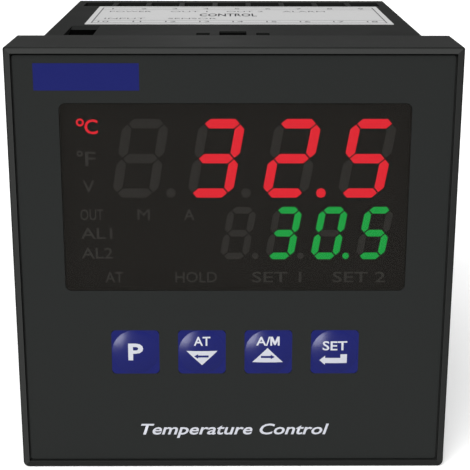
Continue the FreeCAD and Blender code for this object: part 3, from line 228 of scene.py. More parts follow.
def moulded(name, colour, worn_and_sheen, roughness, specular, grain=0.3, depth=0.006):
    """Moulded plastic or rubber: grain and depth are in millimetres.

    The mould's texture scatters the shine into an even dark tone. Where the melt flowed it leaves
    wide faint clouds, a little darker and glossier, and the corners are painted paler in patches,
    partly as rubbing and partly as a painted highlight.
    The texture is drawn about three times as coarse as the real one, so that it shows.
    """
    made, tree, shader, coords = new_material(name)
    texture = add(
        tree,
        "ShaderNodeTexNoise",
        {"Vector": coords, "Scale": 1000 / grain, "Detail": 3.0, "Roughness": 0.6},
    )
    flow = add(
        tree,
        "ShaderNodeTexNoise",
        {"Vector": coords, "Scale": 1000 / FLOW_MARK, "Detail": 3.0, "Roughness": 0.55},
    )
    add(
        tree,
        "ShaderNodeMapRange",
        {"Value": flow.outputs[0], "To Min": roughness - 0.08, "To Max": roughness + 0.08},
        to={0: shader.inputs["Roughness"]},
    )
    clouds = add(
        tree, "ShaderNodeMapRange", {"Value": flow.outputs[0], "From Min": 0.3, "From Max": 0.7}
    )
    darker = [part * 0.86 for part in linear(colour)[:3]] + [1]
    skin = add(
        tree,
        "ShaderNodeMix",
        {0: clouds.outputs[0], 6: darker, 7: linear(colour)},
        data_type="RGBA",
    )
    rounded = add(tree, "ShaderNodeBevel", {"Radius": EDGE_WEAR_AND_SHEEN * MM}, samples=4)
    flat = add(tree, "ShaderNodeNewGeometry").outputs["Normal"]
    turn = add(
        tree,
        "ShaderNodeVectorMath",
        {0: rounded.outputs[0], 1: flat},
        operation="DOT_PRODUCT",
    )
    corners = add(
        tree,
        "ShaderNodeMapRange",
        {"Value": turn.outputs["Value"], "From Min": 0.995, "From Max": 0.8},
    )
    # Wear and painted highlight: the rounded edges are painted paler in patches, as where light
    # catches them.
    rubbed_and_painted_sheen = add(
        tree,
        "ShaderNodeMath",
        {0: corners.outputs[0], 1: clouds.outputs[0]},
        operation="MULTIPLY",
    )
    add(
        tree,
        "ShaderNodeMix",
        {0: rubbed_and_painted_sheen.outputs[0], 6: skin.outputs[2], 7: linear(worn_and_sheen)},
        to={2: shader.inputs["Base Color"]},
        data_type="RGBA",
    )
    add(
        tree,
        "ShaderNodeBump",
        {"Height": texture.outputs[0], "Distance": depth * MM, "Normal": rounded.outputs[0]},
        to={0: shader.inputs["Normal"]},
    )
    shader.inputs["Specular IOR Level"].default_value = specular
    return made


def dress(surface, *nodes):
    """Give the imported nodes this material."""
    for name in nodes:
        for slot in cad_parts[name].material_slots:
            slot.material = surface


bezel_plastic = moulded("spark_textured_bezel_abs", "262726", "5A5B5A", 0.5, 0.04)
tree = bezel_plastic.node_tree
shader = tree.nodes["Principled BSDF"]
place = add(tree, "ShaderNodeTexCoord").outputs
facing = add(tree, "ShaderNodeSeparateXYZ", {0: place["Normal"]}).outputs["Y"]
painted_paler_front = add(
    tree, "ShaderNodeMapRange", {"Value": facing, "From Min": -0.7, "From Max": -0.95}
)
# Painted light: the faces that look forward are painted a paler grey than the rest, as if more
# light fell on them.
add(
    tree,
    "ShaderNodeMix",
    {
        0: painted_paler_front.outputs[0],
        6: shader.inputs["Base Color"].links[0].from_socket,
        7: linear("3D3E3D"),
    },
    to={2: shader.inputs["Base Color"]},
    data_type="RGBA",
)
# The rim's lean: its height falls by a millimetre for each millimetre outward.
spread = add(tree, "ShaderNodeVectorMath", {0: place["Object"]}, operation="ABSOLUTE")
parts = add(tree, "ShaderNodeSeparateXYZ", {0: spread.outputs[0]}).outputs
reach = add(tree, "ShaderNodeMath", {0: parts["X"], 1: parts["Z"]}, operation="MAXIMUM")
fall = add(tree, "ShaderNodeMath", {0: reach.outputs[0], 1: -1.0}, operation="MULTIPLY")
add(
    tree,
    "ShaderNodeBump",
    {
        "Strength": painted_paler_front.outputs[0],
        "Height": fall.outputs[0],
        "Distance": 1.0,
        "Normal": shader.inputs["Normal"].links[0].from_socket,
    },
    to={0: shader.inputs["Normal"]},
)
dress(bezel_plastic, "front_bezel")

# ------------------------------------------------------------------------------------------------
# Front film: polyester with a velvet hard coat, printed from behind in dark grey and glued into
# the bezel's recess. Its marks are thin coats of ink: a plain blue plate at the top left and a
# generic line of words at the foot.
# ------------------------------------------------------------------------------------------------

# Velvet hard coat: no mirror image, only a soft dark grey. The coat's grain is drawn ten times as
# coarse as the real one, so that it shows.
film, tree, shader, coords = new_material("velvet_polyester_film")
velvet = add(
    tree,
    "ShaderNodeTexNoise",
    {"Vector": coords, "Scale": 1000 / 0.22, "Detail": 2.0, "Roughness": 0.7},
)
add(
    tree,
    "ShaderNodeMix",
    {0: velvet.outputs[0], 6: linear("1D1F1E"), 7: linear("272928")},
    to={2: shader.inputs["Base Color"]},
    data_type="RGBA",
)
add(
    tree,
    "ShaderNodeBump",
    {"Height": velvet.outputs[0], "Distance": 0.003 * MM},
    to={0: shader.inputs["Normal"]},
)
waves = add(tree, "ShaderNodeTexNoise", {"Vector": coords, "Scale": 1000 / 25, "Detail": 2.0})
add(
    tree,
    "ShaderNodeMapRange",
    {"Value": waves.outputs[0], "To Min": 0.42, "To Max": 0.54},
    to={0: shader.inputs["Roughness"]},
)
shader.inputs["Specular IOR Level"].default_value = 0.15
dress(film, "front_overlay")
film_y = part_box("front_overlay")[0].y


def ink(name, colour, roughness):
    """Screen-printed ink: a flat colour, a little thinner where the mesh of the screen lay."""
    made, tree, shader, coords = new_material(name)
    mesh_marks = add(
        tree,
        "ShaderNodeTexNoise",
        {"Vector": coords, "Scale": 1000 / 0.5, "Detail": 3.0, "Roughness": 0.6},
    )
    thin = [part * 0.9 for part in linear(colour)[:3]] + [1]
    add(
        tree,
        "ShaderNodeMix",
        {0: mesh_marks.outputs[0], 6: thin, 7: linear(colour)},
        to={2: shader.inputs["Base Color"]},
        data_type="RGBA",
    )
    add(
        tree,
        "ShaderNodeBump",
        {"Height": mesh_marks.outputs[0], "Distance": 0.002 * MM},
        to={0: shader.inputs["Normal"]},
    )
    shader.inputs["Roughness"].default_value = roughness
    shader.inputs["Specular IOR Level"].default_value = 0.12
    return made


def add_words(mesh, words, corner, along, upward, width, height, weight=0.0, lean=0.0):
    """Add flat letters, stretched to a width and height in metres from their low left corner.

    Without a width they keep their shape, and the corner is the middle of their foot.
    """
    curve = bpy.data.curves.new("words", "FONT")
    curve.body = words
    curve.offset = weight
    curve.shear = lean
    curve.resolution_u = 3
    holder = bpy.data.objects.new("words", curve)
    bpy.context.scene.collection.objects.link(holder)
    bpy.context.view_layer.update()
    flat = bpy.data.meshes.new_from_object(holder)
    bpy.data.objects.remove(holder)
    low = Vector((min(v.co.x for v in flat.vertices), min(v.co.y for v in flat.vertices)))
    high = Vector((max(v.co.x for v in flat.vertices), max(v.co.y for v in flat.vertices)))
    start = 0 if width else -0.5
    width = width or (high.x - low.x) / (high.y - low.y) * height
    for vertex in flat.vertices:
        across = ((vertex.co.x - low.x) / (high.x - low.x) + start) * width
        rise = (vertex.co.y - low.y) / (high.y - low.y) * height
        vertex.co = corner + along * across + upward * rise
    mesh.from_mesh(flat)
    bpy.data.meshes.remove(flat)


def add_shape(mesh, points, corner, along, upward):
    """Add one flat outline given by its (across, up) points in millimetres."""
    made = [mesh.verts.new(corner + along * a * MM + upward * b * MM) for a, b in points]
    mesh.faces.new(made)


def add_bar(mesh, left, right, low, high, corner, along, upward):
    """Add one flat bar given by its sides in millimetres."""
    points = ((left, low), (right, low), (right, high), (left, high))
    add_shape(mesh, points, corner, along, upward)


EAST, DEEP, NORTH = Vector((1, 0, 0)), Vector((0, 1, 0)), Vector((0, 0, 1))
INK_COAT = 0.015 * MM
film_print = Vector((0, film_y - INK_COAT, 0))

badge = bmesh.new()
add_bar(badge, -31.5, -14.9, 29.1, 33.4, film_print, EAST, NORTH)
new_piece("blue_badge", badge, ink("blue_screen_ink", "1B2168", 0.4), "root")

white_ink = ink("white_screen_ink", "D8DAE3", 0.45)
foot = bmesh.new()
foot_corner = film_print + EAST * -15.75 * MM + NORTH * -30.75 * MM
foot_size = (32 * MM, 2.65 * MM)
BOLD, SLANT = 0.016, 0.25
add_words(foot, "Temperature Control", foot_corner, EAST, NORTH, *foot_size, BOLD, SLANT)
new_piece("foot_words", foot, white_ink, "root")

# ------------------------------------------------------------------------------------------------
# Display: a smoked acrylic filter plate set flush in the film, and behind it the dark glass of the
# liquid crystals. Lit figures glow red and green through the filter, and unlit ones show faintly.
# ------------------------------------------------------------------------------------------------

# Cast acrylic with an anti-glare face: a deep brown-black that one can just see through, with no
# mirror image in it.
smoked, tree, shader, coords = new_material("anti_glare_smoked_acrylic")
casting = add(tree, "ShaderNodeTexNoise", {"Vector": coords, "Scale": 1000 / 6, "Detail": 3.0})
add(
    tree,
    "ShaderNodeMapRange",
    {"Value": casting.outputs[0], "To Min": 0.44, "To Max": 0.52},
    to={0: shader.inputs["Roughness"]},
)
add(
    tree,
    "ShaderNodeBump",
    {"Height": casting.outputs[0], "Distance": 0.004 * MM},
    to={0: shader.inputs["Normal"]},
)
shader.inputs["Base Color"].default_value = linear("262421")
shader.inputs["Specular IOR Level"].default_value = 0.08
shader.inputs["Alpha"].default_value = 0.55
dress(smoked, "display_window")

# Polished glass over dark liquid crystal: smooth, nearly black, with the faint grain of its cells.
glass, tree, shader, coords = new_material("polished_display_glass")
cells = add(
    tree, "ShaderNodeTexNoise", {"Vector": coords, "Scale": 1000 / 1.5, "Detail": 2.0}
)
add(
    tree,
    "ShaderNodeMix",
    {0: cells.outputs[0], 6: linear("121110"), 7: linear("171615")},
    to={2: shader.inputs["Base Color"]},
    data_type="RGBA",
)
add(
    tree,
    "ShaderNodeMapRange",
    {"Value": cells.outputs[0], "To Min": 0.08, "To Max": 0.16},
    to={0: shader.inputs["Roughness"]},
)
shader.inputs["Specular IOR Level"].default_value = 0.2
dress(glass, "display_glass")


def display_cell(name, unlit, light="000000", strength=0.0):
    """A cell of the display: grey when unlit, and where it is lit an even dyed glow."""
    made, tree, shader, coords = new_material(name)
    grain = add(
        tree, "ShaderNodeTexNoise", {"Vector": coords, "Scale": 1000 / 0.4, "Detail": 2.0}
    )
    dull = [part * 0.9 for part in linear(unlit)[:3]] + [1]
    add(
        tree,
        "ShaderNodeMix",
        {0: grain.outputs[0], 6: dull, 7: linear(unlit)},
        to={2: shader.inputs["Base Color"]},
        data_type="RGBA",
    )
    shader.inputs["Emission Color"].default_value = linear(light)
    shader.inputs["Emission Strength"].default_value = strength
    shader.inputs["Roughness"].default_value = 0.4
    shader.inputs["Specular IOR Level"].default_value = 0.1
    return made


red_cell = display_cell("red_display_cell", "301010", "FF1F33", 3.4)
green_cell = display_cell("green_display_cell", "103010", "08FF69", 1.5)
dark_cell = display_cell("unlit_display_cell", "9C9A95")
sign_cell = display_cell("unlit_sign_cell", "B4B2AE")
dress(red_cell, "upper_digits_lit")
dress(green_cell, "lower_digits_lit")
dress(dark_cell, "upper_digits_unlit", "lower_digits_unlit")

CELL_DEPTH = 0.05 * MM
cell_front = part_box("upper_digits_lit")[0].y
cell_plane = Vector((0, cell_front + CELL_DEPTH, 0))
widening = (cell_front - eye.y) / (film_y - eye.y)


def on_cells(across, up):
    """Where the camera's line through a place on the film, in millimetres, meets the cells."""
    seen_through = eye + (Vector((across * MM, film_y, up * MM)) - eye) * widening
    return seen_through.x / MM, seen_through.z / MM


def cell_words(mesh, words, left, right, low, high, weight):
    """Letters of the display between these sides in millimetres, as seen on the film."""
    (a, b), (c, d) = on_cells(left, low), on_cells(right, high)
    corner = cell_plane + (EAST * a + NORTH * b) * MM
    add_words(mesh, words, corner, EAST, NORTH, (c - a) * MM, (d - b) * MM, weight)


def cell_ring(mesh, across, up, inner, outer):
    """The ring of a degree sign about a place as seen on the film, in millimetres."""
    a, b = on_cells(across, up)
    place = Matrix.Translation(cell_plane + (EAST * a + NORTH * b) * MM)
    upright = place @ Matrix.Rotation(math.pi / 2, 4, "X")
    circle = {"cap_ends": True, "segments": 24, "radius": outer * MM, "matrix": upright}
    disc = bmesh.ops.create_circle(mesh, **circle)["verts"][0].link_faces[0]
    bmesh.ops.inset_region(
        mesh,
        faces=[disc],
        thickness=(outer - inner) * MM,
        use_even_offset=True,
        use_boundary=True,
    )
    bmesh.ops.delete(mesh, geom=[disc], context="FACES")


celsius = bmesh.new()
cell_ring(celsius, -24.4, 24.0, 0.34, 0.64)
cell_words(celsius, "C", -23.7, -21.6, 22.1, 24.5, 0.012)
new_piece("celsius_sign", celsius, red_cell, "root")

SIGNS = (
    ("F", -23.75, -22.1, 16.9, 19.25),
    ("V", -24.3, -22.4, 12.5, 14.55),
    ("OUT", -24.85, -21.1, 7.9, 9.75),
    ("M", -15.6, -13.6, 7.9, 9.75),
    ("A", -8.1, -6.35, 7.9, 9.75),
    ("AL1", -24.85, -19.75, 4.75, 6.6),
    ("AL2", -24.85, -19.75, 1.4, 3.25),
    ("AT", -21.1, -18.1, -2.75, -0.9),
    ("HOLD", -9.6, -2.75, -2.75, -0.9),
    ("SET 1", 3.0, 11.1, -2.75, -0.9),
    ("SET 2", 16.25, 24.9, -2.75, -0.9),
)
signs = bmesh.new()
cell_ring(signs, -24.6, 18.95, 0.22, 0.5)
for words, *sides in SIGNS:
    # A heavier M closes up at its feet.
    cell_words(signs, words, *sides, 0.0 if words == "M" else 0.008)
new_piece("unlit_signs", signs, sign_cell, "root")

# ------------------------------------------------------------------------------------------------
# Keys: a blue polyester film, embossed under heat into a low dome over each key and printed with
# legends in white ink and arrows in dark blue. Each dome moves with its key, and a lip of the
# front film covers the gap round it.
# ------------------------------------------------------------------------------------------------

# Dyed film with a satin face: a deep blue, and a soft crescent of light on the side of the dome.
# Its grain is drawn ten times as coarse as the real one, so that it shows.
key_film, tree, shader, coords = new_material("embossed_key_film")
dye = add(
    tree,
    "ShaderNodeTexNoise",
    {"Vector": coords, "Scale": 1000 / 0.25, "Detail": 2.0, "Roughness": 0.6},
)
add(
    tree,
    "ShaderNodeMix",
    {0: dye.outputs[0], 6: linear("141A60"), 7: linear("191F6A")},
    to={2: shader.inputs["Base Color"]},
    data_type="RGBA",
)
add(
    tree,
    "ShaderNodeMapRange",
    {"Value": dye.outputs[0], "To Min": 0.2, "To Max": 0.26},
    to={0: shader.inputs["Roughness"]},
)
add(
    tree,
    "ShaderNodeBump",
    {"Height": dye.outputs[0], "Distance": 0.002 * MM},
    to={0: shader.inputs["Normal"]},
)
shader.inputs["Specular IOR Level"].default_value = 0.15
blue_ink = ink("dark_blue_screen_ink", "23286E", 0.45)

DOME_RADIUS, DOME_HEIGHT, DOME_FULLNESS = 3.9, 0.38, 2.4
DOME_RINGS, DOME_SIDES = 14, 56


def dome_rise(radius):
    """How far the film stands out of the key's plate, in millimetres."""
    return DOME_HEIGHT * max(0.0, 1 - (radius / DOME_RADIUS) ** DOME_FULLNESS)


def drape(mesh, centre, lift):
    """Lay flat marks on the dome: cut them finely, then move each point to its height."""
    for _ in range(2):
        bmesh.ops.triangulate(mesh, faces=mesh.faces)
        long_edges = [edge for edge in mesh.edges if edge.calc_length() > 0.5 * MM]
        bmesh.ops.subdivide_edges(mesh, edges=long_edges, cuts=1)
    for vertex in mesh.verts:
        radius = (Vector((vertex.co.x, vertex.co.z)) - centre).length / MM
        vertex.co.y = film_y - (dome_rise(radius) + lift) * MM


def words_at(mesh, words, left, right, low, high, weight):
    """Letters on a key between these sides in millimetres."""
    corner = film_print + (EAST * left + NORTH * low) * MM
    add_words(mesh, words, corner, EAST, NORTH, (right - left) * MM, (high - low) * MM, weight)


def shapes_at(mesh, *shapes):
    """Flat outlines on a key, in millimetres."""
    for points in shapes:
        add_shape(mesh, points, film_print, EAST, NORTH)


def spun(mesh, profile, sides):
    """Spin a line of (radius, depth) points in millimetres round the depth axis."""
    line = [mesh.verts.new((radius * MM, depth * MM, 0)) for radius, depth in profile]
    runs = [mesh.edges.new(pair) for pair in zip(line, line[1:])]
    bmesh.ops.spin(
        mesh,
        geom=line + runs,
        cent=(0, 0, 0),
        axis=(0, 1, 0),
        angle=2 * math.pi,
        steps=sides,
        use_merge=True,
    )
    bmesh.ops.remove_doubles(mesh, verts=mesh.verts, dist=0.0005 * MM)
    bmesh.ops.recalc_face_normals(mesh, faces=mesh.faces)


# Everything printed on the keys, in millimetres from the middle of the face as seen on the film.
# The bold M is drawn by its outline, because the built-in letter closes up when it is made bold.
BOLD_M = (
    (6.1, -13.75),
    (6.1, -12.2),
    (6.5, -12.2),
    (6.88, -13.05),
    (7.26, -12.2),
    (7.65, -12.2),
    (7.65, -13.75),
    (7.34, -13.75),
    (7.34, -12.95),
    (7.0, -13.65),
    (6.76, -13.65),
    (6.41, -12.95),
    (6.41, -13.75),
)
UP_TRIANGLE = ((3.1, -16.75), (8.25, -16.75), (5.65, -14.15))
DOWN_TRIANGLE = ((-7.9, -14.7), (-5.3, -17.25), (-2.7, -14.7))
legends = {name: bmesh.new() for name in ("program", "down", "up", "set")}
words_at(legends["program"], "P", -17.6, -15.1, -16.35, -13.35, 0.03)
words_at(legends["down"], "AT", -6.65, -3.9, -13.75, -12.2, 0.016)
shapes_at(legends["down"], DOWN_TRIANGLE)
words_at(legends["up"], "A/", 3.75, 6.1, -13.75, -12.2, 0.016)
shapes_at(legends["up"], UP_TRIANGLE, BOLD_M)
words_at(legends["set"], "SET", 14.85, 18.95, -14.6, -12.98, 0.016)
shapes_at(
    legends["set"],
    ((14.35, -16.4), (15.3, -17.25), (15.3, -15.55)),
    ((15.3, -16.9), (18.95, -16.9), (18.95, -15.95), (15.3, -15.95)),
    ((17.85, -15.95), (18.95, -15.95), (18.95, -15.3), (17.85, -15.3)),
)
arrows = {name: bmesh.new() for name in ("down", "up")}
shapes_at(
    arrows["down"],
    ((-6.6, -15.65), (-5.95, -16.05), (-5.95, -15.25)),
    ((-5.95, -15.83), (-4.2, -15.83), (-4.2, -15.47), (-5.95, -15.47)),
)
shapes_at(
    arrows["up"],
    ((6.85, -15.75), (6.2, -15.35), (6.2, -16.15)),
    ((4.55, -15.93), (6.2, -15.93), (6.2, -15.57), (4.55, -15.57)),
)

LIP_WIDTH, LIP_CORNER = 0.4 * MM, 1.0 * MM
LEGEND_LIFT, ARROW_LIFT = 0.02, 0.035
CARD_OFFSET, CARD_SPREAD = Vector((-0.038, -0.091, -0.003)), 0.48
for name in legends:
    dress(key_film, f"key_{name}")
    low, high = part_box(f"key_{name}")
    middle = (low + high) / 2
    middle.y = film_y
    centre = Vector((middle.x, middle.z))

    lip = bmesh.new()
    bmesh.ops.create_grid(lip, x_segments=1, y_segments=1, size=0.5)
    size = (high.x - low.x + 2 * LIP_WIDTH, high.z - low.z + 2 * LIP_WIDTH, 1)
    bmesh.ops.scale(lip, verts=lip.verts, vec=size)
    bmesh.ops.bevel(
        lip,
        geom=lip.verts[:],
        affect="VERTICES",
        offset=LIP_CORNER,
        segments=6,
        profile=0.5,
        material=-1,
    )
    plate = lip.faces[:]
    bmesh.ops.inset_region(
        lip, faces=plate, thickness=LIP_WIDTH, use_even_offset=True, use_boundary=True
    )
    bmesh.ops.delete(lip, geom=plate, context="FACES")
    stand_up = Matrix.Rotation(math.pi / 2, 3, "X")
    bmesh.ops.rotate(lip, verts=lip.verts, cent=(0, 0, 0), matrix=stand_up)
    bmesh.ops.translate(lip, verts=lip.verts, vec=middle - DEEP * 0.01 * MM)
    new_piece(f"{name}_key_film_lip", lip, film, "root")

    # The rings of the dome lie closer together toward its steep edge.
    skin = bmesh.new()
    rings = [DOME_RADIUS * (1 - (1 - n / DOME_RINGS) ** 1.5) for n in range(DOME_RINGS + 1)]
    spun(skin, [(radius, -dome_rise(radius)) for radius in rings], DOME_SIDES)
    bmesh.ops.translate(skin, verts=skin.verts, vec=middle)
    for face in skin.faces:
        face.smooth = True
    dome = new_piece(f"{name}_key_dome", skin, key_film, f"{name}_key")

    # A dome mirrors its card to the camera as a crescent. The card of a key further to the right
    # hangs further to the right.
    card_place = middle + CARD_OFFSET + EAST * CARD_SPREAD * middle.x
    card = add_card(f"{name}_key_card", card_place, middle, 0.034, 0.035, 0.1)
    card.light_linking.receiver_collection = bpy.data.collections.new(f"{name}_dome_only")
    card.light_linking.receiver_collection.objects.link(dome)

    drape(legends[name], centre, LEGEND_LIFT)
    new_piece(f"{name}_key_legend", legends[name], white_ink, f"{name}_key")
    if name in arrows:
        drape(arrows[name], centre, ARROW_LIFT)
        new_piece(f"{name}_key_arrow", arrows[name], blue_ink, f"{name}_key")

# ------------------------------------------------------------------------------------------------
# Gasket: a flat square ring of soft black rubber, cut from sheet and stuck behind the bezel. The
# panel clamps press it on the panel to keep water out.
# ------------------------------------------------------------------------------------------------

# Sheet rubber: dull and a little dusty, so that it stays an even near-black in any light.
gasket_rubber = moulded("cut_gasket_rubber", "1C1C1C", "262626", 0.75, 0.3, grain=0.6, depth=0.01)
dress(gasket_rubber, "panel_gasket")

# ------------------------------------------------------------------------------------------------
# Body: a square sleeve of flame-retardant ABS, moulded in one shot with its slots and wire
# entries. It slides into the bezel's skirt, where the latch arms snap into it.
# ------------------------------------------------------------------------------------------------

# A coarser spark texture than the bezel's, and a thin cooler skin: matt, slightly grey black.
body_plastic = moulded(
    "coarse_textured_body_abs", "1E1F1E", "343534", 0.52, 0.03, grain=0.4, depth=0.012
)
dress(body_plastic, "body_sleeve")

# ------------------------------------------------------------------------------------------------
# Slot shade: strips of black laid in the body's slots, over the latch hooks and along the foot of
# each clamp slot's ramp. They are painted shade, so that each slot reads as a deep dark hole.
# ------------------------------------------------------------------------------------------------

# Painted shade: a black that takes all light, so that a slot reads as a dark hole.
slot_shade_material = moulded("painted_shade_black", "050505", "101010", 0.8, 0.0, grain=0.2)
body_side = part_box("body_sleeve")[1].z / MM
CLAMP_ACROSS = 27.65
for side, outward in (("upper", 1), ("lower", -1)):
    shade_strips = bmesh.new()
    # Middle, half width, start and end along the body, and the depth under its face at both.
    for across, half_width, start, end, sunk, end_sunk in (
        (0.0, 2.44, 15.52, 20.68, 0.36, 0.36),
        (-5.4, 1.19, 15.52, 18.48, 0.36, 0.36),
        (5.4, 1.19, 15.52, 18.48, 0.36, 0.36),
        (-outward * CLAMP_ACROSS, 2.63, 21.72, 26.0, 1.17, 0.44),
    ):
        corners = [
            shade_strips.verts.new(Vector((x, y, outward * (body_side - deep))) * MM)
            for x, y, deep in (
                (across - half_width, start, sunk),
                (across + half_width, start, sunk),
                (across + half_width, end, end_sunk),
                (across - half_width, end, end_sunk),
            )
        ]
        shade_strips.faces.new(corners if outward > 0 else corners[::-1])
    new_piece(f"{side}_painted_slot_shades", shade_strips, slot_shade_material, "root")

# ------------------------------------------------------------------------------------------------
# Wiring label: a self-adhesive sheet of coated white paper on the top of the body. It is printed
# in grey with the numbers of the terminals, rules and generic words, and in black with a title.
# ------------------------------------------------------------------------------------------------

# Coated paper: a slightly warm, slightly mottled white with a soft sheen.
paper, tree, shader, coords = new_material("coated_label_paper")
fibre = add(
    tree,
    "ShaderNodeTexNoise",
    {"Vector": coords, "Scale": 1000 / 0.6, "Detail": 4.0, "Roughness": 0.65},
)
add(
    tree,
    "ShaderNodeMix",
    {0: fibre.outputs[0], 6: linear("C6C6C6"), 7: linear("D6D6D6")},
    to={2: shader.inputs["Base Color"]},
    data_type="RGBA",
)
add(
    tree,
    "ShaderNodeBump",
    {"Height": fibre.outputs[0], "Distance": 0.004 * MM},
    to={0: shader.inputs["Normal"]},
)
shader.inputs["Roughness"].default_value = 0.55
dress(paper, "wiring_label")

label_low, label_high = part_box("wiring_label")
label_print = Vector((label_low.x, label_low.y, label_high.z + 0.01 * MM))
NUMBER_START, NUMBER_PITCH, LABEL_NUMBER_HEIGHT = 3.2, 6.5, 1.9
UPPER_ROW, LOWER_ROW = 24.6, 2.6
print_mesh = bmesh.new()
for count in range(9):
    across = NUMBER_START + count * NUMBER_PITCH
    for number, start in ((count + 1, UPPER_ROW), (count + 10, LOWER_ROW)):
        corner = label_print + (EAST * across + DEEP * start) * MM
        add_words(print_mesh, str(number), corner, EAST, DEEP, None, LABEL_NUMBER_HEIGHT * MM)
for left, right, low, high in (
    (1.0, 57.9, 27.4, 27.65),
    (1.0, 57.9, 23.6, 23.8),
    (1.0, 57.9, 5.4, 5.6),
    (1.0, 57.9, 1.6, 1.85),
    (1.0, 1.25, 1.6, 27.65),
    (57.65, 57.9, 1.6, 27.65),
):
    add_bar(print_mesh, left, right, low, high, label_print, EAST, DEEP)
for words, left, low, width in (
    ("POWER", 3.0, 19.6, 8.6),
    ("OUT 1", 15.5, 19.6, 7.6),
    ("OUT 2", 27.0, 19.6, 7.6),
    ("ALARM", 38.5, 19.6, 8.8),
    ("INPUT", 3.0, 7.6, 8.0),
    ("SENSOR", 15.5, 7.6, 9.6),
):
    corner = label_print + (EAST * left + DEEP * low) * MM
    add_words(print_mesh, words, corner, EAST, DEEP, width * MM, 1.8 * MM)
grey_ink = ink("grey_label_ink", "6E6E70", 0.6)
new_piece("label_print", print_mesh, grey_ink, "root")
title = bmesh.new()
corner = label_print + (EAST * 21.6 + DEEP * 12.2) * MM
add_words(title, "CONTROL", corner, EAST, DEEP, 11.5 * MM, 4.6 * MM, 0.012)
new_piece("label_title", title, ink("black_label_ink", "2A2A2C", 0.6), "root")

# ------------------------------------------------------------------------------------------------
# Rear: the terminal block, moulded in glass-filled nylon that stands the heat of soldering, with
# stamped clamp plates of plated steel and tinned brass contacts pressed into its wire entries.
# ------------------------------------------------------------------------------------------------

# Glass-filled nylon: a harder, slightly glossier and greyer black than the body.
terminal_plastic = moulded("glass_filled_nylon", "2A2A2B", "3A3A3A", 0.42, 0.4, grain=0.5)
dress(terminal_plastic, "terminal_block")

# The width of a rubbing mark, drawn coarser than the real one so that it shows.
RUBBING_MARK = 0.3


def metal(name, colour, roughness):
    """Plated metal: bright, with fine rubbing marks that blur what it mirrors."""
    made, tree, shader, coords = new_material(name)
    marks = add(
        tree,
        "ShaderNodeTexNoise",
        {"Vector": coords, "Scale": 1000 / RUBBING_MARK, "Detail": 4.0, "Roughness": 0.6},
    )
    dull = [part * 0.8 for part in linear(colour)[:3]] + [1]
    add(
        tree,
        "ShaderNodeMix",
        {0: marks.outputs[0], 6: dull, 7: linear(colour)},
        to={2: shader.inputs["Base Color"]},
        data_type="RGBA",
    )
    add(
        tree,
        "ShaderNodeMapRange",
        {"Value": marks.outputs[0], "To Min": roughness - 0.08, "To Max": roughness + 0.1},
        to={0: shader.inputs["Roughness"]},
    )
    add(
        tree,
        "ShaderNodeBump",
        {"Height": marks.outputs[0], "Distance": 0.003 * MM},
        to={0: shader.inputs["Normal"]},
    )
    shader.inputs["Metallic"].default_value = 1.0
    return made


# Zinc gives a cool silver, tinned brass a warm pale yellow, and tinned wire a plain pale grey.
zinc = metal("zinc_plated_steel", "C2C4C6", 0.3)
brass = metal("tinned_brass", "B9A77A", 0.35)
tin = metal("tinned_wire", "B8BABC", 0.35)
dress(zinc, "clamp_plates_upper", "clamp_plates_lower", "board_screws")
dress(brass, "contacts_upper", "contacts_lower")
dress(tin, "display_pins")

# ------------------------------------------------------------------------------------------------
# Terminal screws: turned from zinc-plated steel, with a slotted head and a rolled thread. Each
# stands turned as the wireman left it, in a raised collar moulded on the block, beside its number.
# ------------------------------------------------------------------------------------------------

HEAD_RADIUS, HEAD_HEIGHT, SLOT_DEPTH, SLOT_WIDTH, HEAD_EDGE = 2.6, 1.3, 0.5, 0.8, 0.13
THREAD_PITCH, THREAD_CREST, THREAD_ROOT, SCREW_TIP = 0.5, 1.5, 1.22, 1.1


def add_copy(mesh, pattern, place, turn=0.0):
    """Add a copy of a finished mesh, turned about the depth axis and moved to its place."""
    first = len(mesh.verts)
    mesh.from_mesh(pattern)
    mesh.verts.ensure_lookup_table()
    copied = mesh.verts[first:]
    bmesh.ops.rotate(mesh, verts=copied, cent=(0, 0, 0), matrix=Matrix.Rotation(turn, 3, "Y"))
    bmesh.ops.translate(mesh, verts=copied, vec=place)


screw_low, screw_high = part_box("terminal_screws_upper")
length = (screw_high.y - screw_low.y) / MM
screw = bmesh.new()
profile = [(0.0, -length), (SCREW_TIP, -length)]
for ridge in range(int((length - HEAD_HEIGHT) / THREAD_PITCH) - 1):
    foot_of_ridge = ridge * THREAD_PITCH - length
    profile += [(THREAD_CREST, foot_of_ridge + 0.4), (THREAD_ROOT, foot_of_ridge + 0.65)]
profile += [(THREAD_CREST, -HEAD_HEIGHT), (HEAD_RADIUS, -HEAD_HEIGHT)]
profile += [(HEAD_RADIUS, -SLOT_DEPTH), (0.0, -SLOT_DEPTH)]
spun(screw, profile, 28)
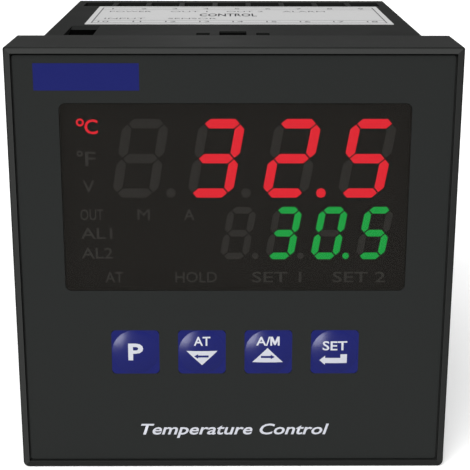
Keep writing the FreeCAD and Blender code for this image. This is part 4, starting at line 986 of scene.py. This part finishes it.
# The two halves of the head that stand beside the slot.
for half in (0, 1):
    moon = bmesh.new()
    bmesh.ops.create_circle(moon, cap_ends=True, segments=40, radius=HEAD_RADIUS * MM)
    everything = moon.verts[:] + moon.edges[:] + moon.faces[:]
    edge = (0, SLOT_WIDTH / 2 * MM, 0)
    bmesh.ops.bisect_plane(
        moon, geom=everything, plane_co=edge, plane_no=(0, 1, 0), clear_inner=True
    )
    raised = bmesh.ops.extrude_face_region(moon, geom=moon.faces[:])["geom"]
    top = [item for item in raised if isinstance(item, bmesh.types.BMVert)]
    bmesh.ops.translate(moon, verts=top, vec=(0, 0, SLOT_DEPTH * MM))
    crown = [e for e in moon.edges if all(v in top for v in e.verts)]
    bmesh.ops.bevel(
        moon,
        geom=crown,
        affect="EDGES",
        offset=HEAD_EDGE * MM,
        segments=2,
        profile=0.5,
        material=-1,
    )
    bmesh.ops.translate(moon, verts=moon.verts, vec=(0, 0, -SLOT_DEPTH * MM))
    spin_half = Matrix.Rotation(math.pi * half, 3, "Z")
    bmesh.ops.rotate(moon, verts=moon.verts, cent=(0, 0, 0), matrix=spin_half)
    lay_back = Matrix.Rotation(-math.pi / 2, 3, "X")
    bmesh.ops.rotate(moon, verts=moon.verts, cent=(0, 0, 0), matrix=lay_back)
    part = bpy.data.meshes.new("moon")
    moon.to_mesh(part)
    moon.free()
    screw.from_mesh(part)
    bpy.data.meshes.remove(part)
bmesh.ops.remove_doubles(screw, verts=screw.verts, dist=0.0005 * MM)
bmesh.ops.recalc_face_normals(screw, faces=screw.faces)
screw_pattern = bpy.data.meshes.new("terminal_screw")
screw.to_mesh(screw_pattern)
screw.free()

# The collar's wall as (radius, height behind the block's face), from its bore to its foot.
COLLAR_WALL = ((2.65, -1.2), (2.65, 0.05), (2.8, 0.2), (3.25, 0.2), (3.4, 0.05), (3.4, -0.1))
collar = bmesh.new()
spun(collar, COLLAR_WALL, 40)
collar_pattern = bpy.data.meshes.new("screw_collar")
collar.to_mesh(collar_pattern)
collar.free()

rear_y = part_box("terminal_block")[1].y
NUMBER_GAP, REAR_NUMBER_HEIGHT = 5.4, 1.8
SLOT_TURNS = {
    "upper": (12, 74, 148, 31, 95, 170, 58, 116, 5),
    "lower": (133, 40, 88, 162, 21, 107, 66, 143, 80),
}
for side, outward, first_number in (("upper", 1, 1), ("lower", -1, 10)):
    low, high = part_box(f"terminal_screws_{side}")
    row_z = (low.z + high.z) / 2
    pitch = (high.x - low.x - 2 * HEAD_RADIUS * MM) / 8
    screws, collars, numbers = bmesh.new(), bmesh.new(), bmesh.new()
    for count, degrees in enumerate(SLOT_TURNS[side]):
        across = low.x + HEAD_RADIUS * MM + pitch * count
        add_copy(screws, screw_pattern, (across, high.y, row_z), math.radians(degrees))
        add_copy(collars, collar_pattern, (across, rear_y, row_z))
        foot_z = row_z - (outward * NUMBER_GAP + REAR_NUMBER_HEIGHT / 2) * MM
        corner = Vector((across, rear_y + INK_COAT, foot_z))
        number = str(first_number + count)
        add_words(numbers, number, corner, -EAST, NORTH, None, REAR_NUMBER_HEIGHT * MM, 0.01)
    piece = new_piece(f"{side}_terminal_screws", screws, zinc, "root")
    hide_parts(f"terminal_screws_{side}")
    new_piece(f"{side}_screw_collars", collars, terminal_plastic, "root")
    new_piece(f"{side}_terminal_numbers", numbers, white_ink, "root")
bpy.data.meshes.remove(screw_pattern)
bpy.data.meshes.remove(collar_pattern)

# ------------------------------------------------------------------------------------------------
# Inside: four boards of glass-epoxy laminate with copper tracks under a green solder mask, and the
# parts soldered to them. They slide in from the rear and join by pin connectors.
# ------------------------------------------------------------------------------------------------

# Solder mask over copper: glossy green, paler and slightly raised where a track runs below. The
# tracks are drawn about three times as wide as the real ones, so that they show.
board_laminate, tree, shader, coords = new_material("solder_masked_laminate")
tracks = add(
    tree,
    "ShaderNodeTexVoronoi",
    {"Vector": coords, "Scale": 1000 / 3.0},
    distance="MANHATTAN",
    feature="DISTANCE_TO_EDGE",
)
between = add(
    tree,
    "ShaderNodeMapRange",
    {"Value": tracks.outputs["Distance"], "From Min": 0.05, "From Max": 0.09},
)
add(
    tree,
    "ShaderNodeMix",
    {0: between.outputs[0], 6: linear("2E6B3C"), 7: linear("1B4A2A")},
    to={2: shader.inputs["Base Color"]},
    data_type="RGBA",
)
add(
    tree,
    "ShaderNodeBump",
    {"Height": between.outputs[0], "Distance": 0.03 * MM},
    to={0: shader.inputs["Normal"]},
    invert=True,
)
shader.inputs["Roughness"].default_value = 0.3
dress(board_laminate, "display_board", "control_board", "power_board", "terminal_board")

# Moulded parts: black and grey plastics with a soft sheen, and a clear guide that looks milky.
dress(moulded("key_switch_nylon", "26262A", "333338", 0.4, 0.45), "key_switches")
dress(
    moulded("switch_plunger_nylon", "8A8A86", "A0A09C", 0.45, 0.4),
    *[f"plunger_{name}" for name in legends],
)
dress(moulded("light_guide_acrylic", "DCDCD6", "E8E8E4", 0.3, 0.5), "light_guide")
dress(
    moulded("connector_nylon", "D8D2BE", "E4E0D0", 0.4, 0.45), "front_connectors", "rear_connectors"
)
dress(moulded("relay_case_nylon", "24456E", "305382", 0.35, 0.5), "output_relays")
# Epoxy pressed round the chips: matt and very fine. Ferrite: pressed and fired, a dull dark grey.
dress(moulded("pressed_chip_epoxy", "202022", "2C2C2E", 0.55, 0.3, grain=0.15), "microcontroller")
dress(moulded("optocoupler_epoxy", "DADAD6", "E6E6E2", 0.5, 0.4, grain=0.15), "optocouplers")
dress(moulded("sintered_ferrite", "2C2B2A", "383634", 0.6, 0.4, grain=0.2), "transformer_core")
# Wound polyester tape and a shrunk sleeve: smooth and shiny, with slight waves.
dress(moulded("winding_tape", "C9A12A", "D8B44A", 0.35, 0.5, grain=1.5), "transformer_winding")
dress(moulded("shrunk_sleeve", "1C1C30", "28283E", 0.3, 0.5, grain=0.8), "supply_capacitor")
